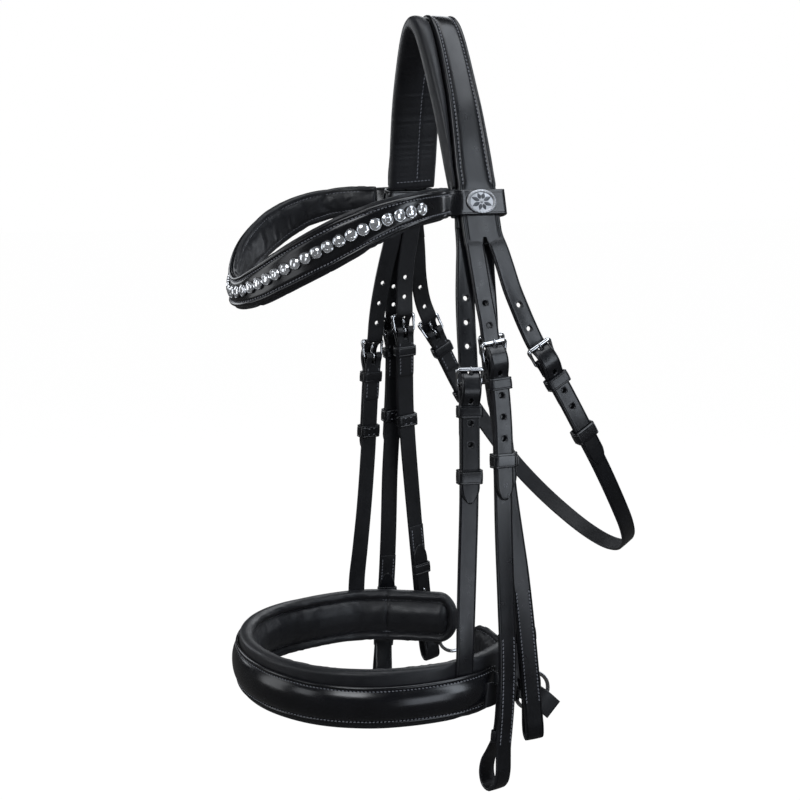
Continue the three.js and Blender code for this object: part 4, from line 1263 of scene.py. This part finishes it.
def gem(s, spin):
    """A faceted stone turned by spin."""
    radius = STONE_R - .5
    verts, faces = [], []

    def ring(count, r, y, offset):
        base = len(verts)
        for k in range(count):
            a = 2 * math.pi * (k + offset) / count + spin
            verts.append([r * math.cos(a), y, r * math.sin(a)])
        return base

    foot, girdle = ring(16, radius, 1.2, 0), ring(16, radius, 1.55, 0)
    shoulder, top = ring(8, radius * .78, 2.1, .5), ring(8, radius * .50, 2.35, 0)
    centre, under = len(verts), len(verts) + 1
    verts += [[0, 2.0, 0], [0, 1.0, 0]]
    for k in range(16):
        n = (k + 1) % 16
        faces.append([foot + k, foot + n, girdle + n, girdle + k])
        faces.append([under, foot + n, foot + k])
    for k in range(8):
        n, even = (k + 1) % 8, girdle + (2 * k + 2) % 16
        odd = girdle + 2 * k + 1
        faces += [[girdle + 2 * k, odd, shoulder + k], [odd, even, shoulder + k],
                  [shoulder + k, even, shoulder + n], [shoulder + k, shoulder + n, top + n],
                  [shoulder + k, top + n, top + k], [top + k, top + n, centre]]
    return outward(Mesh().add(band_line.put(s, verts, .12), faces, 1))


def crystal_chain():
    random = np.random.default_rng(7)
    places = [band_mid + (i - (STONE_COUNT - 1) / 2) * STONE_PITCH for i in range(STONE_COUNT)]
    mesh = Mesh()
    for s in places:
        mesh.merge(cup(s))
    for s in places:
        mesh.merge(gem(s, random.uniform(0, math.pi)))
    piece("crystal_chain", mesh, [stone_cup, crystal], sharp=14)


# ---------------------------------------------------------------- medallion
MEDAL_RX, MEDAL_RZ, MEDAL_LIFT = 11.7, 8.5, 3.15


def on_medal(verts, faces, mat=0):
    return outward(Mesh().add(crown_line.put(loop_at, verts, MEDAL_LIFT), faces, mat))


def bead(centre, radius, height, sides=10):
    x, y, z = centre
    verts = [[x, y + height, z]]
    for r, h in ((.5, .87), (.85, .5), (1, 0), (.96, -.3)):
        verts += [[x + a, y + b, z + c] for a, b, c in circle(radius * r, height * h, sides)]
    faces = [[0, 1 + k, 1 + (k + 1) % sides] for k in range(sides)]
    faces += [[1 + i for i in face] for face in bands(4, sides, flip=True)]
    faces.append([1 + 3 * sides + k for k in range(sides)])
    return on_medal(verts, faces)


def petal(cosine, sine, inner, outer, width, steps=7):
    """A raised petal pointing away from the middle in direction (cosine, sine)."""
    verts = []
    for i in range(steps + 1):
        f = i / steps
        r = inner + (outer - inner) * f
        w = width * math.sin(math.pi * min(.98, max(.06, f ** .8))) + .12
        for o, y in ((-w, .50), (-w * .8, .74), (0, .82), (w * .8, .74), (w, .50)):
            verts.append([r * cosine - o * sine, y, r * sine + o * cosine])
    return on_medal(verts, shell(steps + 1, 5), 1)


def medallion():
    """An oval disc on the browband loop: beaded rim and an eight-petal rosette."""
    sides = 56
    # Rim profile: fraction of the radius, height
    profile = [(.97, 0), (1.0, .3), (1.0, .85), (.985, 1.15), (.95, 1.3), (.88, 1.34),
               (.81, 1.28), (.775, 1.0), (.765, .6)]
    verts = [[MEDAL_RX * x, y, MEDAL_RZ * z] for f, h in profile for x, y, z in circle(f, h, sides)]
    mesh = on_medal(verts, shell(len(profile), sides))
    for x, y, z in circle(1, 1.28, 28):
        mesh.merge(bead([MEDAL_RX * .885 * x, y, MEDAL_RZ * .88 * z], .58, .34))
    for k in range(8):
        a = 2 * math.pi * k / 8 + math.pi / 8
        x, z = math.cos(a), math.sin(a)
        reach = 1 / math.hypot(x / (MEDAL_RX * .76), z / (MEDAL_RZ * .76))
        mesh.merge(petal(x, z, 2.0, reach - .35, 1.45))
    mesh.merge(bead([0, .6, 0], 1.3, .6))
    pair("medallion", mesh, [medallion_silver, medallion_ground], sharp=45)


# ---------------------------------------------------------------- noseband
nose_mid = nose_line.length / 2
nose_samples = np.linspace(0, nose_mid, 1500)
nose_places = nose_line.at(nose_samples)[0]
# The leather reaches back on each side to y = 10.5
nose_start = nose_mid - float(nose_mid - nose_samples[int(np.argmax(nose_places[:, 1] < 10.5))])
nose_stop = nose_line.length - nose_start
# Downward shifts, growing towards the off side
nose_sag = table([[0, -1], [300, -.5], [430, 2.8], [581, 3.0]])
pad_sag = table([[0, -3.6], [180, -3.6], [300, -1.2], [430, 4.6], [581, 5.0]])
NOSE_EDGE = [  # inset, y
    (0, -2.9), (.12, -2.2), (.45, -1.7), (1.0, -1.5), (1.8, -1.45), (2.4, -1.62),
    (2.9, -1.85), (3.4, -1.75), (4.0, -1.3), (4.8, -.75), (6.0, -.1), (7.8, .55),
    (10, 1.05), (12.5, 1.35)]


def ring_tab():
    """The tapered near tab that carries the noseband ring."""
    turn_at = tab_line.length - 10
    half = table([[0, 9], [14, 7], [tab_line.length - 14, 5.6], [tab_line.length, 5.4]])
    mesh = strap(tab_line, -6, turn_at + .5, half, 2.2, 9, -1.2, step=2.5, crown=.15)
    mesh.merge(ring_wrap(tab_line, turn_at, RING_CENTRE - [0, RING_R, 0], side=1,
                         head=[(-3, -.9)], tail=[(-3, -2.6), (-9, -2.5)], half=5.4, thick=1.3))
    seam_pair(mesh, tab_line, 8, turn_at - 4, lambda s: half(s) - 1.6, .05)
    return mesh


def noseband_leather():
    def section(s):
        d = min(s - nose_start, nose_stop - s)
        swell = float(np.interp(d, [4, 14], [.35, 1]))
        edge = [(e, -1.5 + (y + 1.5) * (swell if y > -1.5 else 1)) for e, y in NOSE_EDGE]
        face, under = band_section(float(nose_height(s)) / 2 - 1.1, edge, -1.5 + 2.95 * swell,
                                   ((.15, -3.3), (.7, -3.6), -3.7))
        narrow = .92 + .08 * math.sqrt(max(0.0, 1 - (1 - min(max(d, 0), 2) / 2) ** 2))
        thin = float(np.interp(d, [0, .5, 1.6], [.4, .8, 1]))
        sag = float(nose_sag(s))
        return [(x * narrow + sag, -2.4 + (y + 2.4) * thin) for x, y in face + under]

    stations = stations_between(nose_start, nose_stop, [0, .4, 1, 1.8], gap=3, count=150)
    mesh = loft(nose_line, stations, section)
    seam_pair(mesh, nose_line, nose_start + 2.5, nose_stop - 2.5,
              lambda s: nose_height(s) / 2 - 4.05, -1.48, centre=nose_sag, pitch=2.7,
              length=1.9, radius=.34, groove=.18)
    tab = ring_tab()
    mesh.merge(tab).merge(tab.mirrored())
    piece("noseband_leather", mesh, GLOSSY, sharp=50)


PAD_CORNER = 18.0
PAD_SEAM = 7.6  # inset of the sewn groove in the lining
pad_start, pad_stop = 3.0, nose_line.length - 3.0
# Where the cheek strap crosses the pad
strap_cross = float(nose_samples[int(
    np.linalg.norm(nose_places[:, :2] - np.array([106.5, -19.0]), axis=1).argmin())])
PAD_OUTER = [[0, -4.2], [.3, -2.6], [.9, -1.2], [1.8, -.3], [3.4, 0]]  # inset, rise
PAD_INNER = [  # inset, y of the padded inner face; the last row only closes the table
    [0, -4.2], [.2, -6.2], [.6, -7.7], [1.2, -8.9], [2.0, -9.8], [3.0, -10.5], [4.2, -10.75],
    [5.4, -10.3], [6.3, -9.5], [7.0, -8.6], [PAD_SEAM, -7.9], [8.1, -8.4], [8.8, -9.2],
    [9.8, -10.1], [11.2, -11.1], [13.2, -12.2], [15.6, -13.1], [18.2, -13.6], [24, -13.8]]
PAD_INSETS = np.array([row[0] for row in PAD_INNER[:-1]])


def nose_pad_section(s):
    """A section, and each point's inset from the pad outline (100 more on the outer face)."""
    radius = PAD_CORNER
    d = min(s - pad_start, pad_stop - s)
    full = float(np.interp(s, [250, 430], [21.2, 21.8]))
    cut = radius - math.sqrt(max(0.0, radius ** 2 - (radius - d) ** 2)) if d < radius else 0.0
    h = full - cut
    steps = PAD_INSETS * min(1.0, h / 19.5)
    outer_x = np.array([-h, -h + .3, -h + .9, -h + 1.8, -h + 3.4, -h * .35, 0, h * .35,
                        h - 3.4, h - 1.8, h - .9, h - .3])
    inner_x = np.concatenate([h - steps, [h * .12 if h > 15 else 0], (-h + steps)[:0:-1]])

    def inset(x):
        x = np.abs(x)
        in_corner = (x > full - radius) & (d < radius)
        return np.where(in_corner, radius - np.hypot(x - (full - radius), radius - d),
                        np.minimum(full - x, d))

    outer_inset, inner_inset = inset(outer_x), inset(inner_x)
    # the outer face sinks under the cheek straps and away from the pad ends
    bulge = max(math.exp(-((s - place) / 11.0) ** 2)
                for place in (strap_cross, nose_line.length - strap_cross))
    level = -4.4 - 3.6 * bulge - float(np.interp(d, [30, 52], [4.4, 0]))
    outer_y = np.minimum(-4.4 + table(PAD_OUTER)(outer_inset), level)
    inner_y = np.minimum(-4.4 + table(PAD_INNER)(inner_inset), level - .8)
    ring = np.c_[np.concatenate([outer_x, inner_x]) + float(pad_sag(s)),
                 np.concatenate([outer_y, inner_y])]
    return ring, np.concatenate([outer_inset + 100, inner_inset])


def noseband_padding():
    length = nose_line.length
    tacks = (66.0, length - 66.0)  # where the lining is pinched across
    near_tack = np.array([-3.0, -2.0, -1.2, -.5, .5, 1.2, 2.0, 3.0])
    closer = [0, .12, .4, .9, 1.6, 2.5, 3.5, 4.6, 5.6, 6.5, 7.2, 7.8, 8.4, 9.2, 10.4, 12.0,
              14.0, 16.0, PAD_CORNER]
    stations = np.concatenate([stations_between(pad_start, pad_stop, closer, 20.2, 156)]
                              + [tack + near_tack for tack in tacks])
    stations = np.array(sorted(set(np.round(stations, 4))))
    mesh = loft(nose_line, stations, lambda s: nose_pad_section(s)[0])
    rings, insets = zip(*(nose_pad_section(float(s)) for s in stations))
    height, inset = np.vstack(rings)[:, 1], np.concatenate(insets)
    pinned = (inset > 50) | (np.abs(inset - PAD_SEAM) < .75) | (inset < 1.0)
    mesh = puff(mesh, pinned, "nosepad", grow=.02, cap=.6)
    verts = mesh.points()
    s = np.repeat(stations, len(rings[0]))
    out = nose_line.at(s)[3]
    for tack in tacks:
        pinch = np.exp(-np.abs((s - tack) / 1.9) ** 1.4) * np.clip((-8.2 - height) / 2.5, 0, 1)
        verts = verts + out * (pinch * 1.5)[:, None]
    mesh.verts = [verts]
    seam_pair(mesh, nose_line, 20, length - 20, 13.7, -12.35, centre=pad_sag, radius=.34)
    piece("noseband_padding", mesh, SOFT, sharp=60)


def noseband_ring():
    turns = [2 * math.pi * k / 56 for k in range(56)]
    path = [RING_CENTRE + RING_R * np.array([0, math.cos(a), math.sin(a)]) for a in turns]
    pair("noseband_ring", tube(path, 1.5, 14, closed=True, up=[1, 0, 0]), [bright_metal],
         sharp=60)


# ---------------------------------------------------------------- chin strap
def chin_strap():
    half = table([[0, 5.0], [10, 5.5], [26, 8], [chin_line.length, 8]])
    mesh = strap(chin_line, 8, chin_line.length, half, 2.2, 8, step=2.5, crown=.2)
    wire = RING_CENTRE * [-1, 1, 1] + [0, RING_R, 0]
    mesh.merge(ring_wrap(chin_line, 10, wire, side=-1, head=[(2, .9)],
                         tail=[(2, -1.0), (14, -1.5)], half=5.0, thick=1.2))
    seam_pair(mesh, chin_line, 12, 34, lambda s: half(s) - 1.7, 1.22)
    piece("chin_strap", mesh, LEATHER)


def chin_pad():
    middle = chin_line.length * .47
    size, groove = 40, 4.2

    def half(s):
        return 13 * float(np.interp(abs(s - middle), [0, 20, 26, 30], [1, 1, .86, .52]))

    def section(s):
        h = half(s)
        side = [(1.5, -1.6), (0, -3.4), (.8, -5.6), (2.4, -6.4), (3.6, -5.9), (groove, -5.3),
                (4.8, -5.9), (h * .6, -7.0)]
        return pad_section(h, side, -1.5, -7.3, size)

    stations = stations_between(middle - 30, middle + 30, [0, .6, 1.6, 3], gap=5, count=32)
    mesh = loft(chin_line, stations,
                closed_ends(section, stations[0], stations[-1], radius=5.0, level=-4.2))
    x, y = np.vstack([section(float(s)) for s in stations]).T
    row = np.repeat(np.arange(len(stations)), size)
    seam = np.repeat([half(float(s)) for s in stations], size) - groove
    pinned = ((y > -2.4) | ((np.abs(np.abs(x) - seam) < .5) & (y < -4))
              | (row < 4) | (row > len(stations) - 5))
    mesh = puff(mesh, pinned, "chinpad", grow=.04, cap=.8)
    seam_pair(mesh, chin_line, middle - 22, middle + 22, 8.8, -5.5, radius=.26)
    piece("chin_pad", mesh, SOFT, sharp=60)


# ---------------------------------------------------------------- stage (metres)
def stage_floor():
    """A pale floor: nearly white to the camera and nearly black in reflections."""
    size, z = 14.0, -0.72
    data = bpy.data.meshes.new("floor")
    data.from_pydata([(-size, -size, z), (size, -size, z), (size, size, z), (-size, size, z)],
                     [], [(0, 1, 2, 3)])
    floor = link(bpy.data.objects.new("floor", data))
    material = bpy.data.materials.new("pale_floor")
    material.use_nodes = True
    nodes, join = material.node_tree.nodes, material.node_tree.links.new
    shader = nodes["Principled BSDF"]
    shader.inputs["Base Color"].default_value = (.9, .9, .9, 1)
    shader.inputs["Roughness"].default_value = .9
    data.materials.append(material)
    glow = nodes.new("ShaderNodeEmission")
    glow.inputs["Strength"].default_value = 1.04
    rays = nodes.new("ShaderNodeLightPath")
    share = nodes.new("ShaderNodeMath")
    share.operation = "MULTIPLY"
    share.inputs[1].default_value = .955
    seen = nodes.new("ShaderNodeMixShader")
    join(rays.outputs["Is Camera Ray"], share.inputs[0])
    join(share.outputs[0], seen.inputs[0])
    join(shader.outputs[0], seen.inputs[1])
    join(glow.outputs[0], seen.inputs[2])
    final = nodes.new("ShaderNodeMixShader")
    dim = nodes.new("ShaderNodeEmission")
    dim.inputs["Strength"].default_value = .06
    join(rays.outputs["Is Glossy Ray"], final.inputs[0])
    join(seen.outputs[0], final.inputs[1])
    join(dim.outputs[0], final.inputs[2])
    join(final.outputs[0], nodes["Material Output"].inputs["Surface"])


def studio_world():
    """White to the camera, a faint cool fill to everything else."""
    world = bpy.data.worlds.new("studio")
    bpy.context.scene.world = world
    world.use_nodes = True
    nodes, join = world.node_tree.nodes, world.node_tree.links.new
    fill = nodes["Background"]
    white = nodes.new("ShaderNodeBackground")
    for background, colour, strength in ((fill, (.90, .94, 1, 1), .04),
                                         (white, (1, 1, 1, 1), 1.0)):
        background.inputs["Color"].default_value = colour
        background.inputs["Strength"].default_value = strength
    rays = nodes.new("ShaderNodeLightPath")
    mix = nodes.new("ShaderNodeMixShader")
    join(rays.outputs["Is Camera Ray"], mix.inputs[0])
    join(fill.outputs[0], mix.inputs[1])
    join(white.outputs[0], mix.inputs[2])
    join(mix.outputs[0], nodes["World Output"].inputs["Surface"])


def area(name, at, aim, size, power, colour, height=None):
    """An area light, square unless a height is given."""
    light = bpy.data.lights.new(name, "AREA")
    light.energy = power
    light.size = size
    light.color = colour
    if height:
        light.shape = "RECTANGLE"
        light.size_y = height
    lamp = link(bpy.data.objects.new(name, light))
    lamp.location = at
    lamp.rotation_euler = (Vector(aim) - Vector(at)).to_track_quat("-Z", "Y").to_euler()


def lights():
    centre, mild, cool = (0, 0, -.28), (.93, .96, 1), (.88, .93, 1)
    area("key", (1.3, -1.2, .75), centre, size=.9, power=11, colour=mild)
    area("side", (1.45, .80, .12), centre, size=.42, power=5.5, colour=(.84, .91, 1),
         height=1.25)
    area("top", (.1, -.1, 1.3), centre, size=.9, power=6, colour=mild)
    area("top_side", (.50, .58, 1.0), (0, 0, -.1), size=.85, power=6.5, colour=cool)
    area("front", (.34, -1.8, .02), (0, 0, -.2), size=.5, power=1.7, colour=(.92, .95, 1),
         height=.8)
    area("rear", (-.45, 1.75, -.05), (0, 0, -.2), size=.7, power=4.5, colour=cool, height=1.2)
    area("low_side", (1.05, .17, -.55), (.1, .02, -.41), size=.42, power=.72,
         colour=(.84, .90, 1), height=.30)
    area("back_fill", (-1.4, 1.0, .6), centre, size=1.0, power=7, colour=mild)
    area("off_fill", (-1.5, -.8, .25), centre, size=.9, power=4.5, colour=mild)
    area("front_left", (-.5, -1.7, -.1), (0, 0, -.35), size=.6, power=3.5,
         colour=(.94, .97, 1), height=1.2)


def camera():
    data = bpy.data.cameras.new("camera")
    obj = link(bpy.data.objects.new("camera", data))
    bpy.context.scene.camera = obj
    data.sensor_width = 36
    data.lens = 58.70925
    data.clip_start = .01
    # Columns: right, up, backward, position
    obj.matrix_world = Matrix(((.4067, -.1555, .9002, .8791),
                               (.9135, .0692, -.4008, -.4149),
                               (0, .9854, .1702, -.1020),
                               (0, 0, 0, 1)))
    bpy.context.scene.view_settings.view_transform = "Standard"


# ---------------------------------------------------------------- build
headpiece_strap()
slipheads()
headpiece_padding()
buckled_straps()
bit_cheekpiece("curb", curb_line, curb_hinge, CURB_LOOP, lap=84, keepers=(8.5, 52))
bit_cheekpiece("bridoon", bridoon_line, bridoon_hinge, BRIDOON_LOOP, lap=92, keepers=(17, 54))
noseband_strap()
throat_strap()
browband_leather()
browband_padding()
crystal_chain()
medallion()
noseband_leather()
noseband_padding()
noseband_ring()
chin_strap()
chin_pad()
stage_floor()
studio_world()
lights()
camera()
